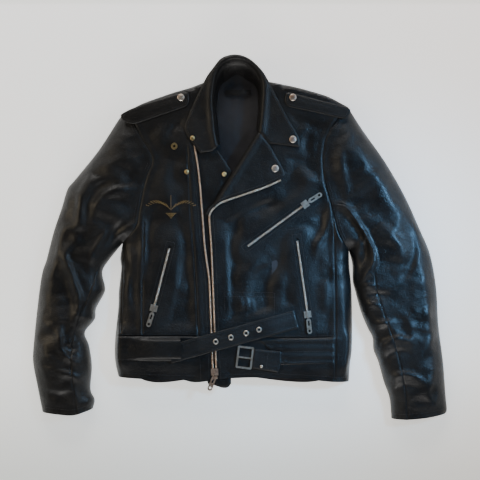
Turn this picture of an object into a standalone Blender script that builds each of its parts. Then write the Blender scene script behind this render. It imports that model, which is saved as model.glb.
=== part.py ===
"""Leather riding jacket, laid flat on its back with its front facing up.

Frame: X runs across the jacket (+X is the wearer's left), +Y runs from the hem to the collar,
+Z points up from the surface that the jacket lies on. The origin is under the middle of the jacket.
"right" and "left" in the names are the wearer's.
"""
import math

import bmesh
import bpy
from mathutils import Matrix, Vector

MM = 0.001

# Driving dimensions, in millimetres.
GAP = 0.4                 # clearance between pieces that touch
SKIN = 2.4                # padded leather and lining, as one layer
TOP = 42.0                # height of the front of the body when the jacket lies down
HEM_Y = -301.0
HEM_CUT_Y = HEM_Y - 9     # panels are cut from a shell that ends at the hem
NECK_Y = 332.0
SIDE_SEAM_Z = 4.7         # height of the seam between back panel and sides
YOKE_Y = 232.0            # shoulder seam of the front
ARMHOLE_GAP = 0.3         # from each armhole line to the pieces beside it
RIGHT_ARMHOLE_X = -215.0
LEFT_ARMHOLE_X = 198.0
RIGHT_ARMPIT_Y = -12.0
LEFT_ARMPIT_Y = -28.0
RIGHT_SIDE_X = -205.0     # seam between the front and side panels
LEFT_SIDE_X = 200.0
RIGHT_NECK_X = -49.5      # inner ends of the shoulder yokes
LEFT_NECK_X = 44.5
SWING_CLEAR = 1.2         # from a swinging sleeve's round head to the side panel
SHELL_CUT_Z = (-5.0, 80.0)
CHAIN_W = 4.0             # one row of zip teeth
CHAIN_OFFSET = 3.6        # row centre from the zip's centre line
PANEL_CLEAR = 11.0        # front edge from the main zip's centre line
POCKET_CLEAR = 6.2        # half the width of a pocket slot
TAPE_W = 15.0             # zip tape that shows beside its teeth
SLIDER_LENGTH = 14.0
SLIDER_HALF = 7.6
SLIDER_TOP = 44.2
PULL_T = 1.6
PULL_LENGTH = 32.0
PULL_WIDTH = 10.0
SNAP_R = 7.5
SOCKET_R = 7.0
STUD_R = 5.0
ROUND_STEPS = 24          # sides of a round piece
BELT_W = 39.0
BELT_ROOT = Vector((-124.0, -236.8))
BELT_TIP = Vector((117.0, -170.0))
CHANNEL_START = Vector((-252.0, -233.0))
CHANNEL_LENGTH = 120.0
EYELETS = (75, 108, 141, 169)   # along the strap from its root
BUCKLE = Vector((9.0, -250.5))
BUCKLE_TURN = -7.0
BUCKLE_HINGE = 17.6       # from the buckle's middle to its hinge
BUCKLE_STRAP_START = 18.9

# Bottom and top of each layer above the surface that the jacket lies on.
LINING_Z = (2.8, 4.0)
HANGER_Z = (4.4, 6.4)
POCKET_BAG_Z = (32.8, 34.8)
WIND_FLAP_Z = (33.0, 35.2)
CHAIN_Z = (38.0, 41.9)
TAPE_Z = (38.4, 39.2)
LAPEL_Z = (42.4, 44.6)
LAPEL_TEETH_Z = (42.4, 45.0)
EPAULETTE_Z = (42.6, 45.6)
COLLAR_Z = (45.2, 48.2)
BELT_BAND_Z = (42.4, 44.4)
BUCKLE_Z = (42.5, 45.7)
BUCKLE_STRAP_Z = (44.8, 46.8)
PRONG_Z = (46.1, 48.3)
BELT_Z = (47.0, 50.0)

PARTS = "leather_riding_jacket"
CUTTERS = "cutters"

COLOURS = {
    "leather": ((0.012, 0.012, 0.014), 0.42, 0.0),
    "lining": ((0.020, 0.021, 0.026), 0.75, 0.0),
    "tape": ((0.015, 0.014, 0.013), 0.85, 0.0),
    "nickel": ((0.62, 0.60, 0.56), 0.28, 1.0),
    "worn_brass": ((0.55, 0.40, 0.28), 0.35, 1.0),
    "copper": ((0.50, 0.30, 0.20), 0.35, 1.0),
}


def clear_scene():
    for item in list(bpy.data.objects):
        bpy.data.objects.remove(item, do_unlink=True)


def collection(name):
    found = bpy.data.collections.get(name)
    if found is None:
        found = bpy.data.collections.new(name)
        bpy.context.scene.collection.children.link(found)
    return found


def material(node, look):
    colour, roughness, metallic = COLOURS[look]
    made = bpy.data.materials.new(node)
    made.use_nodes = True
    shader = made.node_tree.nodes["Principled BSDF"]
    shader.inputs["Base Color"].default_value = (*colour, 1.0)
    shader.inputs["Roughness"].default_value = roughness
    shader.inputs["Metallic"].default_value = metallic
    return made


def add_piece(name, mesh, look, matrix=None):
    piece = bpy.data.objects.new(name, mesh)
    collection(PARTS).objects.link(piece)
    if matrix is not None:
        piece.matrix_world = matrix
    mesh.materials.clear()
    mesh.materials.append(material(name, look))
    return piece


def slab_mesh(name, outline, low, high, holes=()):
    """Closed plate between two heights, from a flat outline in millimetres."""
    curve = bpy.data.curves.new(name + "_outline", "CURVE")
    curve.dimensions = "2D"
    curve.fill_mode = "BOTH"
    curve.extrude = (high - low) * MM / 2
    for loop in (outline, *holes):
        spline = curve.splines.new("POLY")
        spline.points.add(len(loop) - 1)
        for point, (x, y) in zip(spline.points, loop):
            point.co = (x * MM, y * MM, 0.0, 1.0)
        spline.use_cyclic_u = True
    holder = bpy.data.objects.new(name + "_outline", curve)
    bpy.context.scene.collection.objects.link(holder)
    bpy.context.view_layer.update()
    depsgraph = bpy.context.evaluated_depsgraph_get()
    mesh = bpy.data.meshes.new_from_object(holder.evaluated_get(depsgraph))
    bpy.data.objects.remove(holder, do_unlink=True)
    bpy.data.curves.remove(curve)
    shape = bmesh.new()
    shape.from_mesh(mesh)
    bmesh.ops.remove_doubles(shape, verts=shape.verts, dist=0.00001)
    bmesh.ops.translate(shape, verts=shape.verts, vec=(0, 0, (low + high) * MM / 2))
    bmesh.ops.recalc_face_normals(shape, faces=shape.faces)
    shape.to_mesh(mesh)
    shape.free()
    mesh.name = name
    return mesh


def plate(name, outline, low, high, look, holes=(), matrix=None):
    return add_piece(name, slab_mesh(name, outline, low, high, holes), look, matrix)


def cutter(name, outline, low, high):
    tool = bpy.data.objects.new(name, slab_mesh(name, outline, low, high))
    collection(CUTTERS).objects.link(tool)
    tool.hide_render = True
    tool.display_type = "WIRE"
    return tool


def cut(piece, tool, operation):
    step = piece.modifiers.new(operation.lower(), "BOOLEAN")
    step.operation = operation
    step.object = tool
    step.solver = "EXACT"


def place(x, y, z, turn=0.0):
    """World matrix for a piece drawn about its own origin; turn is in degrees about Z."""
    return Matrix.Translation((x * MM, y * MM, z * MM)) @ Matrix.Rotation(math.radians(turn), 4, "Z")


def set_origin(piece, point):
    """Moves a piece's origin to its joint's axis, and leaves its shape where it is."""
    target = Vector(point) * MM
    shift = piece.matrix_world.inverted() @ target
    piece.data.transform(Matrix.Translation(-shift))
    piece.matrix_world = piece.matrix_world @ Matrix.Translation(shift)


# ---------------------------------------------------------------- open shells

def tube_mesh(name, rings):
    """Open tube through closed rings of points, with its faces pointing out."""
    shape = bmesh.new()
    rows = [[shape.verts.new(Vector(point) * MM) for point in ring] for ring in rings]
    lean = 0.0
    for first, second, ring in zip(rows, rows[1:], rings):
        centre = sum((Vector(point) for point in ring), Vector()) * MM / len(ring)
        for index in range(len(first)):
            after = (index + 1) % len(first)
            face = shape.faces.new((first[index], first[after], second[after], second[index]))
            face.normal_update()
            lean += face.normal.dot(face.calc_center_median() - centre)
    if lean < 0:
        bmesh.ops.reverse_faces(shape, faces=shape.faces)
    mesh = bpy.data.meshes.new(name)
    shape.to_mesh(mesh)
    shape.free()
    return mesh


def shell_piece(name, rings, region, low, high):
    """Part of an open shell that lies over one region of the plan."""
    piece = add_piece(name, tube_mesh(name, rings), "leather")
    wall = piece.modifiers.new("wall", "SOLIDIFY")
    wall.thickness = SKIN * MM
    wall.offset = -1.0
    wall.use_even_offset = False
    cut(piece, cutter(name + "_region", region, low, high), "INTERSECT")
    return piece


# Distance in from the side edge, and height, down the rounded side of the body.
BODY_SIDE = ((38, TOP), (24, 41), (11, 36), (3, 27), (0, 15), (2, 7), (9, 1.5), (26, 0))

# Height on the plan, right edge and left edge of the body.
BODY_STATIONS = (
    (HEM_Y, -257, 230), (-285, -260, 231), (-258, -266, 232), (-200, -264, 236),
    (-147, -259, 237), (-110, -256, 232), (-60, -252, 228), (-28, -250, 226),
    (-12, -249, 226), (262, -249, 229), (278, -220, 228), (288, -201, 209),
    (303, -160, 178), (318, -105, 122), (NECK_Y, -72, 58),
)


def body_rings():
    rings = []
    for y, right, left in BODY_STATIONS:
        down_left = [(left - inset, y, z) for inset, z in BODY_SIDE]
        up_right = [(right + inset, y, z) for inset, z in reversed(BODY_SIDE)]
        rings.append(down_left + up_right)
    return rings


def power(value, exponent):
    return math.copysign(abs(value) ** exponent, value)


def sleeve_ring(outer, inner, height, count=20):
    """Flattened round section between the outer and inner edges of the sleeve."""
    middle = Vector(((outer[0] + inner[0]) / 2, (outer[1] + inner[1]) / 2))
    half = Vector(outer) - middle
    ring = []
    for index in range(count):
        angle = 2 * math.pi * index / count
        flat = middle + half * power(math.cos(angle), 0.85)
        ring.append((flat.x, flat.y, height / 2 * (1 - power(math.sin(angle), 0.7))))
    return ring


# Outer edge, inner edge and height of each section, from the armhole to the cuff.
RIGHT_SLEEVE = (
    ((-205, 287), (-205, -8), 46), ((-258, 252), (-250, -8), 50),
    ((-301, 186), (-272, -38), 54), ((-351, 124), (-281, -62), 56),
    ((-378, 65), (-287, -90), 56), ((-398, 8), (-291, -112), 55),
    ((-418, -62), (-311, -160), 53), ((-432, -157), (-329, -190), 50),
    ((-438, -222), (-322, -230), 48), ((-439, -271), (-315, -275), 46),
    ((-430, -320), (-318, -322), 44), ((-420, -368), (-312, -361), 40),
)
LEFT_SLEEVE = (
    ((188, 295), (188, -24), 46), ((230, 276), (232, -24), 50),
    ((268, 222), (240, -44), 54), ((309, 158), (243, -70), 56),
    ((350, 86), (244, -105), 56), ((384, 8), (249, -135), 55),
    ((408, -66), (263, -172), 53), ((420, -175), (277, -205), 50),
    ((430, -258), (284, -245), 48), ((434, -310), (301, -295), 46),
    ((439, -358), (316, -341), 44), ((436, -373), (321, -384), 40),
)

# Centre of each shoulder's swing, the way the arm points, and the swing's radius.
RIGHT_SHOULDER = (Vector((-326.0, 0.0)), 255.0, 80.0)
LEFT_SHOULDER = (Vector((310.0, -21.0)), 285.0, 90.0)
# A point on the elbow's line and the way the forearm points.
RIGHT_ELBOW = (Vector((-383.0, -190.0)), 270.0)
LEFT_ELBOW = (Vector((348.0, -195.0)), 279.5)
ELBOW_Z = 52.0


def heading(degrees):
    return Vector((math.cos(math.radians(degrees)), math.sin(math.radians(degrees))))


def arc(centre, radius, first, last, count):
    points = []
    for index in range(count + 1):
        angle = first + (last - first) * index / count
        points.append(tuple(centre + heading(angle) * radius))
    return points


def cap_region(shoulder, armhole_x, side):
    """Sleeve head: from the armhole to the hollow that the arm turns in."""
    centre, points_to, radius = shoulder
    bow = arc(centre, radius + GAP, points_to - 90, points_to - 270, 28)
    if side < 0:
        bow = bow[::-1]
    inner = bow[0]
    outer = Vector(bow[-1])
    beyond = outer + (outer - centre).normalized() * 60
    return [
        (armhole_x, inner[1] - 25), (inner[0] - side * 2, inner[1] - 25), *bow,
        tuple(beyond), (beyond.x, 330), (armhole_x, 330),
    ]


def arm_region(shoulder, elbow, side):
    """Upper sleeve: a round head that turns in the sleeve cap, down to the elbow."""
    centre, points_to, radius = shoulder
    bow = arc(centre, radius, points_to - 90, points_to - 270, 28)
    if side < 0:
        bow = bow[::-1]
    middle, forearm = elbow
    across = heading(forearm - 90 * side)
    back = heading(forearm + 180) * (GAP / 2)
    return [
        *bow,
        tuple(Vector(bow[-1]) + heading(points_to) * 60 - across * 30),
        tuple(middle + back - across * 90), tuple(middle + back + across * 90),
        tuple(Vector(bow[0]) + heading(points_to) * 60),
    ]


def forearm_region(elbow):
    middle, points_to = elbow
    away = heading(points_to)
    across = heading(points_to + 90)
    near = middle + away * (GAP / 2)
    far = middle + away * 230
    return [
        tuple(near - across * 95), tuple(near + across * 95),
        tuple(far + across * 95), tuple(far - across * 95),
    ]


# ---------------------------------------------------------------- the main zip's line

ZIP_LOW = Vector((-54.0, -288.0))
ZIP_HIGH = Vector((-61.5, -93.0))


def zip_x(y):
    share = (y - ZIP_LOW.y) / (ZIP_HIGH.y - ZIP_LOW.y)
    return ZIP_LOW.x + share * (ZIP_HIGH.x - ZIP_LOW.x)


RIGHT_CHAIN = (
    (zip_x(-298) - CHAIN_OFFSET, -298), (ZIP_HIGH.x - CHAIN_OFFSET, -93), (-75, -17),
    (-80, 49), (-87, 131), (-97, 197),
)
LEFT_CHAIN = (
    (zip_x(-298) + CHAIN_OFFSET, -298), (ZIP_HIGH.x + CHAIN_OFFSET, -93), (-61, -22), (-65, 34),
)
LAPEL_CHAIN = ((-51, 67), (-41, 74), (10, 92), (86, 122))
# The lapel folds back along this line, from the zip up to the neck.
ROLL_LOW = Vector((-67.0, 55.0))
ROLL_HIGH = Vector((35.0, 223.0))


def offset_path(path, distance):
    """The same path, moved sideways: to its right for a positive distance."""
    points = [Vector(point) for point in path]
    moved = []
    for index, point in enumerate(points):
        before = points[max(index - 1, 0)]
        after = points[min(index + 1, len(points) - 1)]
        along = (after - before).normalized()
        moved.append(tuple(point + Vector((along.y, -along.x)) * distance))
    return moved


def ribbon(path, right, left):
    """Outline of a band along a path, between two sideways distances."""
    return offset_path(path, right) + offset_path(path, left)[::-1]


# ---------------------------------------------------------------- the body

def make_body():
    rings = body_rings()
    half = GAP / 2
    far = 300
    top = 340
    right_arm_x = RIGHT_ARMHOLE_X + ARMHOLE_GAP
    left_arm_x = LEFT_ARMHOLE_X - ARMHOLE_GAP
    right_pit = RIGHT_ARMPIT_Y - half
    left_pit = LEFT_ARMPIT_Y - half
    back_region = [
        (-far, HEM_CUT_Y), (far, HEM_CUT_Y), (far, left_pit), (left_arm_x, left_pit),
        (left_arm_x, top), (right_arm_x, top), (right_arm_x, right_pit), (-far, right_pit),
    ]
    shell_piece("back_panel", rings, back_region, SHELL_CUT_Z[0], SIDE_SEAM_Z - GAP)
    low = SIDE_SEAM_Z
    high = SHELL_CUT_Z[1]
    right_side = [
        (-far, HEM_CUT_Y), (RIGHT_SIDE_X - half, HEM_CUT_Y), (RIGHT_SIDE_X - half, right_pit),
        (-far, right_pit),
    ]
    left_side = [
        (LEFT_SIDE_X + half, HEM_CUT_Y), (far, HEM_CUT_Y), (far, left_pit),
        (LEFT_SIDE_X + half, left_pit),
    ]
    sides = (("right", right_side, RIGHT_SHOULDER), ("left", left_side, LEFT_SHOULDER))
    for name, region, (centre, _, radius) in sides:
        panel = shell_piece("side_panel_" + name, rings, region, low, high)
        # The sleeve's round head passes this corner as the sleeve swings out.
        sweep = arc(centre, radius + SWING_CLEAR, 0, 352.5, 47)
        cut(panel, cutter("side_panel_" + name + "_sweep", sweep, *SHELL_CUT_Z), "DIFFERENCE")
    right_edge = offset_path(RIGHT_CHAIN, CHAIN_OFFSET - PANEL_CLEAR)
    right_front = [
        (RIGHT_SIDE_X + half, HEM_CUT_Y), (right_edge[0][0], HEM_CUT_Y), *right_edge,
        (-105, 210), (RIGHT_NECK_X, 210), (RIGHT_NECK_X, YOKE_Y - half), (right_arm_x, YOKE_Y - half),
        (right_arm_x, RIGHT_ARMPIT_Y + half), (RIGHT_SIDE_X + half, RIGHT_ARMPIT_Y + half),
    ]
    right_front_piece = shell_piece("front_right", rings, right_front, low, high)
    left_edge = offset_path(LEFT_CHAIN, PANEL_CLEAR - CHAIN_OFFSET)
    left_front = [
        (left_edge[0][0], HEM_CUT_Y), (LEFT_SIDE_X - half, HEM_CUT_Y), (LEFT_SIDE_X - half, left_pit),
        (left_arm_x, left_pit), (left_arm_x, YOKE_Y - half), (LEFT_NECK_X, YOKE_Y - half),
        (LEFT_NECK_X, 224), (38, 221), (-57, 64), *left_edge[::-1],
    ]
    left_front_piece = shell_piece("front_left", rings, left_front, low, high)
    right_yoke = [
        (right_arm_x, YOKE_Y + half), (RIGHT_NECK_X, YOKE_Y + half), (RIGHT_NECK_X, top),
        (right_arm_x, top),
    ]
    shell_piece("yoke_right", rings, right_yoke, low, high)
    left_yoke = [
        (LEFT_NECK_X, YOKE_Y + half), (left_arm_x, YOKE_Y + half), (left_arm_x, top),
        (LEFT_NECK_X, top),
    ]
    shell_piece("yoke_left", rings, left_yoke, low, high)
    lining = [
        (-228, -290), (200, -290), (205, -40), (172, -20), (172, 250), (60, 300), (45, 322),
        (-60, 322), (-75, 300), (-188, 255), (-188, -5), (-222, -30),
    ]
    plate("back_lining", lining, *LINING_Z, "lining")
    loop = [(-32, 306), (22, 306), (22, 312), (-32, 312)]
    plate("hanger_loop", loop, *HANGER_Z, "leather")
    underlap = [
        (-98, 195), (-50, 186), (-8, 118), (-34, 62), (-30, -22), (-24, -150), (-20, -309),
        (-38, -315), (-72, -300), (-78, -93), (-90, -17), (-97, 49), (-104, 131),
    ]
    plate("wind_flap", underlap, *WIND_FLAP_Z, "leather")
    return {"right": right_front_piece, "left": left_front_piece}


def make_sleeves():
    right = [sleeve_ring(*section) for section in RIGHT_SLEEVE]
    left = [sleeve_ring(*section) for section in LEFT_SLEEVE]
    sides = (
        ("right", right, RIGHT_SHOULDER, RIGHT_ELBOW, RIGHT_ARMHOLE_X - ARMHOLE_GAP, -1),
        ("left", left, LEFT_SHOULDER, LEFT_ELBOW, LEFT_ARMHOLE_X + ARMHOLE_GAP, 1),
    )
    for name, rings, shoulder, elbow, armhole_x, side in sides:
        cap = cap_region(shoulder, armhole_x, side)
        shell_piece("sleeve_head_" + name, rings, cap, *SHELL_CUT_Z)
        region = arm_region(shoulder, elbow, side)
        arm = shell_piece("upper_sleeve_" + name, rings, region, *SHELL_CUT_Z)
        set_origin(arm, (*shoulder[0], 0.0))
        forearm = shell_piece("forearm_" + name, rings, forearm_region(elbow), *SHELL_CUT_Z)
        set_origin(forearm, (*elbow[0], ELBOW_Z))


# ---------------------------------------------------------------- collar and lapel

def make_collar():
    stand_outer = [
        (-49.4, 190), (-49.4, 345), (-44, 365), (-32, 379), (-12, 384), (10, 381),
        (30, 369), (41, 352), (43.4, 335), (43.4, 226),
    ]
    stand_inner = [
        (36, 230), (36, 300), (33, 338), (18, 355), (-4, 361), (-26, 354), (-40, 336),
        (-44, 300), (-44, 240), (-40, 190),
    ]
    plate("collar_stand", stand_outer + stand_inner, *COLLAR_Z, "leather")
    back_wall = [
        (-48, 340), (-43, 364), (-32, 378), (-12, 383), (10, 380), (30, 368), (41, 350), (43, 336),
    ]
    plate("collar_fall", ribbon(back_wall, 0, 2.6), 0.3, COLLAR_Z[0] - GAP, "leather")
    right_wing = [
        (-50, 342), (-73, 335), (-112, 251), (-117, 227), (-103, 200), (-85, 178), (-50, 182),
    ]
    plate("collar_wing_right", right_wing, *COLLAR_Z, "leather")
    left_wing = [
        (44, 345), (57, 331), (95, 260), (123, 212), (124, 191), (64, 199), (44, 222),
    ]
    plate("collar_wing_left", left_wing, *COLLAR_Z, "leather")
    along = (ROLL_HIGH - ROLL_LOW).normalized()
    outward = Vector((along.y, -along.x))
    low = ROLL_LOW + outward * 1.0
    high = ROLL_HIGH + outward * 1.0
    lapel_edge = offset_path(LAPEL_CHAIN, -CHAIN_W / 2 - 2 * GAP)
    lapel = [tuple(low + along * 12), *lapel_edge, (91, 136), (58, 196), tuple(high - along * 2)]
    plate("lapel_left", lapel, *LAPEL_Z, "leather")
    for name in ("collar_wing_right", "collar_wing_left"):
        piece = bpy.data.objects[name]
        set_origin(piece, (-49.7 if "right" in name else 43.7, 260, COLLAR_Z[1]))
    set_origin(bpy.data.objects["lapel_left"], (*ROLL_LOW, LAPEL_Z[1]))


# ---------------------------------------------------------------- round hardware

def turned_mesh(name, profile):
    """Solid of revolution about Z. The profile runs down its outer side, in millimetres."""
    mesh = bpy.data.meshes.new(name + "_profile")
    shape = bmesh.new()
    points = [shape.verts.new((radius * MM, 0, z * MM)) for radius, z in profile]
    for index in range(len(points) - 1):
        shape.edges.new((points[index], points[index + 1]))
    if profile[0][0] > 0:
        shape.edges.new((points[-1], points[0]))
    shape.to_mesh(mesh)
    shape.free()
    return mesh


def turned(name, profile, look, matrix):
    piece = add_piece(name, turned_mesh(name, profile), look, matrix)
    screw = piece.modifiers.new("turn", "SCREW")
    screw.axis = "Z"
    screw.steps = ROUND_STEPS
    screw.render_steps = ROUND_STEPS
    screw.use_merge_vertices = True
    screw.merge_threshold = 0.00005
    screw.use_smooth_shade = True
    return piece


def snap_cap(name, x, y, z, radius=SNAP_R):
    """Domed press-stud cap with a rolled rim."""
    dome = [(0, 2.6), (radius * 0.5, 2.4), (radius * 0.85, 1.8), (radius, 0.9), (radius, 0), (0, 0)]
    return turned(name, dome, "nickel", place(x, y, z))


def ring(name, x, y, z, outer, inner, height):
    band = [(outer, height * 0.5), (outer, 0), (inner, 0), (inner, height), (outer - 0.8, height)]
    return turned(name, band, "nickel", place(x, y, z))


def make_snaps():
    snap_cap("snap_cap_epaulette_right", -125, 295, EPAULETTE_Z[1] + GAP)
    snap_cap("snap_cap_epaulette_left", 110, 295, EPAULETTE_Z[1] + GAP)
    snap_cap("snap_cap_collar_left", 110, 207, COLLAR_Z[1] + GAP)
    snap_cap("snap_cap_lapel", 73, 146, LAPEL_Z[1] + GAP)
    ring("snap_socket_chest", -139, 193, TOP + GAP, SOCKET_R, 2.6, 2.2)
    snap_cap("stud_collar_right", -100.5, 209.5, COLLAR_Z[1] + GAP, STUD_R)
    snap_cap("stud_chest", -113, 139, TOP + GAP, STUD_R)


# ---------------------------------------------------------------- epaulettes

def make_epaulettes():
    right = [
        (-243, 246), (-222, 240), (-116, 277), (-109, 285), (-109, 298), (-117, 306),
        (-215, 277), (-250, 260),
    ]
    plate("epaulette_right", right, *EPAULETTE_Z, "leather")
    left = [
        (227, 258), (216, 251), (104, 275), (96, 281), (94, 296), (100, 304), (114, 303), (224, 274),
    ]
    plate("epaulette_left", left, *EPAULETTE_Z, "leather")


# ---------------------------------------------------------------- zips

def zip_frame(start, towards):
    """Matrix whose X is across the zip, Y is up and Z is along it."""
    along = (Vector(towards) - Vector(start)).normalized()
    across = Vector((along.y, -along.x))
    matrix = Matrix((
        (-across.x, 0, along.x, start[0] * MM),
        (-across.y, 0, along.y, start[1] * MM),
        (0, 1, 0, 0),
        (0, 0, 0, 1),
    ))
    return matrix


def slider(name, start, towards):
    """I-shaped slider: a plate above the teeth, one below and a web between the two rows."""
    web = 1.2
    top = 42.4
    cap = SLIDER_TOP
    base = 35.9
    foot = 37.6
    bail = 2.2
    bail_top = cap + PULL_T + 0.6
    outline = [
        (-SLIDER_HALF, top), (-web, top), (-web, foot), (-SLIDER_HALF, foot), (-SLIDER_HALF, base),
        (SLIDER_HALF, base), (SLIDER_HALF, foot), (web, foot), (web, top), (SLIDER_HALF, top),
        (SLIDER_HALF, cap), (bail, cap), (bail, bail_top), (-bail, bail_top),
        (-bail, cap), (-SLIDER_HALF, cap),
    ]
    frame = zip_frame(start, towards)
    return plate(name, outline, -SLIDER_LENGTH / 2, SLIDER_LENGTH / 2, "nickel", matrix=frame)


def pull(name, root, turn):
    """Flat tab with a slot near the slider and a round hole near its end."""
    half = PULL_WIDTH / 2
    length = PULL_LENGTH
    outline = [
        (0, -2.6), (4, -half), (length - 3, -half), (length, -half + 3), (length, half - 3),
        (length - 3, half), (4, half), (0, 2.6),
    ]
    slot = [(5, -1.6), (15, -1.6), (15, 1.6), (5, 1.6)]
    hole = arc(Vector((length - 6, 0)), 2.6, 0, 337.5, 15)
    low = SLIDER_TOP + GAP
    matrix = place(root[0], root[1], 0, turn)
    piece = plate(name, outline, low, low + PULL_T, "nickel", holes=(slot, hole), matrix=matrix)
    set_origin(piece, (root[0], root[1], low + PULL_T))
    return piece


def chain_outline(start, end):
    """Two rows of closed teeth with a slit between them, joined at the far end stop."""
    along = (Vector(end) - Vector(start)).normalized()
    side = Vector((along.y, -along.x))
    inner = CHAIN_OFFSET - CHAIN_W / 2
    outer = CHAIN_OFFSET + CHAIN_W / 2
    first = Vector(start) - along * 6
    stop = Vector(end) - along * 5
    last = Vector(end)
    steps = (
        (first, outer), (last, outer), (last, -outer), (first, -outer), (first, -inner),
        (stop, -inner), (stop, inner), (first, inner),
    )
    return [tuple(point + side * distance) for point, distance in steps]


# Slider's place, far end of the zip and the front that the pocket is in.
POCKETS = {
    "chest": ((136, 71), (14, -18), "left"),
    "hand_left": ((141, -160), (119, -4), "left"),
    "hand_right": ((-182, -147), (-149, -20), "right"),
}
PULL_TURNS = {"chest": 32.0, "hand_left": -84.0, "hand_right": -108.0}
POCKET_BAGS = {
    "chest": [(22, -24), (128, 54), (182, 54), (182, -4), (60, -24)],
    "hand_left": [(66, -30), (190, -30), (190, -195), (66, -195)],
    "hand_right": [(-200, -25), (-112, -25), (-112, -200), (-200, -200)],
}


def pull_root(start, towards, gap=1.8):
    back = (Vector(start) - Vector(towards)).normalized()
    return tuple(Vector(start) + back * (SLIDER_LENGTH / 2 + gap))


def make_pockets(fronts):
    for name, (start, end, front) in POCKETS.items():
        plate(name + "_zip_teeth", chain_outline(start, end), *CHAIN_Z, "nickel")
        along = (Vector(end) - Vector(start)).normalized()
        line = (tuple(Vector(start) - along * 10), tuple(Vector(end) + along * 1.0))
        slot = cutter(name + "_slot", ribbon(line, POCKET_CLEAR, -POCKET_CLEAR), 36, 50)
        cut(fronts[front], slot, "DIFFERENCE")
        slider(name + "_zip_slider", start, end)
        pull(name + "_zip_pull", pull_root(start, end), PULL_TURNS[name])
        plate(name + "_pocket_bag", POCKET_BAGS[name], *POCKET_BAG_Z, "lining")


def make_main_zip():
    half = CHAIN_W / 2
    plate("zip_teeth_right", ribbon(RIGHT_CHAIN, half, -half), *CHAIN_Z, "worn_brass")
    plate("zip_teeth_left", ribbon(LEFT_CHAIN, half, -half), *CHAIN_Z, "worn_brass")
    near = half + GAP
    far = half + TAPE_W
    plate("zip_teeth_lapel", ribbon(LAPEL_CHAIN, half, -half), *LAPEL_TEETH_Z, "nickel")
    plate("zip_tape_right", ribbon(RIGHT_CHAIN, -near, -far), *TAPE_Z, "tape")
    plate("zip_tape_left", ribbon(LEFT_CHAIN, near, far), *TAPE_Z, "tape")
    start = (zip_x(-281), -281)
    slider("zip_slider", start, ZIP_HIGH)
    pull("zip_pull", pull_root(start, ZIP_HIGH), -112.0)
    set_origin(bpy.data.objects["zip_teeth_lapel"], (*ROLL_LOW, LAPEL_Z[1]))


# ---------------------------------------------------------------- belt

def belt_turn():
    run = BELT_TIP - BELT_ROOT
    return math.degrees(math.atan2(run.y, run.x))


def make_belt():
    length = (BELT_TIP - BELT_ROOT).length
    half = BELT_W / 2
    holes = [arc(Vector((distance, 0)), 3.0, 0, 337.5, 15) for distance in EYELETS]
    outline = [(0, -half), (length, -half), (length, half), (0, half)]
    spot = place(BELT_ROOT.x, BELT_ROOT.y, 0, belt_turn())
    strap = plate("belt_strap", outline, *BELT_Z, "leather", holes=holes, matrix=spot)
    set_origin(strap, (*BELT_ROOT, BELT_Z[1]))
    for number, distance in enumerate(EYELETS, start=1):
        point = BELT_ROOT + heading(belt_turn()) * distance
        ring("belt_eyelet_" + str(number), point.x, point.y, BELT_Z[1] + GAP, 5.6, 2.8, 1.2)
    tunnel = [
        (-25, 42.5), (25, 42.5), (25, 44.3), (23, 44.3),
        (23, 53.4), (-23, 53.4), (-23, 44.3), (-25, 44.3),
    ]
    hollow = [(-21, 44.3), (21, 44.3), (21, 51.4), (-21, 51.4)]
    frame = Matrix((
        (0, 0, 1, CHANNEL_START.x * MM),
        (1, 0, 0, CHANNEL_START.y * MM),
        (0, 1, 0, 0),
        (0, 0, 0, 1),
    ))
    plate("belt_channel", tunnel, 0, CHANNEL_LENGTH, "leather", holes=(hollow,), matrix=frame)
    band = [(66, -213), (194, -211), (194, -262), (66, -264)]
    plate("belt_band", band, *BELT_BAND_Z, "leather")
    strap_end = [(0, -21), (36, -22), (56, -24), (56, 24), (36, 22), (0, 21)]
    bar = BUCKLE + heading(BUCKLE_TURN) * BUCKLE_STRAP_START
    at_bar = place(bar.x, bar.y, 0, BUCKLE_TURN)
    plate("buckle_strap", strap_end, *BUCKLE_STRAP_Z, "leather", matrix=at_bar)
    rivet = bar + heading(BUCKLE_TURN) * 18 - heading(BUCKLE_TURN + 90) * 14
    snap_cap("buckle_rivet", rivet.x, rivet.y, BUCKLE_STRAP_Z[1] + GAP, 3.2)
    outer = [
        (-17, -21.5), (-15, -23.5), (15, -23.5), (17, -21.5),
        (17, 21.5), (15, 23.5), (-15, 23.5), (-17, 21.5),
    ]
    inner = [(-13, -19.5), (13, -19.5), (13, 19.5), (-13, 19.5)]
    place_buckle = place(BUCKLE.x, BUCKLE.y, 0, BUCKLE_TURN)
    buckle = plate("buckle_frame", outer, *BUCKLE_Z, "nickel", holes=(inner,), matrix=place_buckle)
    hinge = BUCKLE + heading(BUCKLE_TURN) * BUCKLE_HINGE
    set_origin(buckle, (*hinge, BUCKLE_Z[1]))
    tongue = [(-16, -1.6), (16.8, -1.6), (16.8, 1.6), (-16, 1.6)]
    prong = plate("buckle_prong", tongue, *PRONG_Z, "nickel", matrix=place_buckle)
    set_origin(prong, (*hinge, PRONG_Z[1]))


def main():
    clear_scene()
    fronts = make_body()
    make_sleeves()
    make_collar()
    make_epaulettes()
    make_snaps()
    make_main_zip()
    make_pockets(fronts)
    make_belt()


main()
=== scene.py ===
import math

import bmesh
import bpy
import numpy as np
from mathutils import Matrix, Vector
from mathutils.bvhtree import BVHTree
from mathutils.geometry import convex_hull_2d, delaunay_2d_cdt


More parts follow.
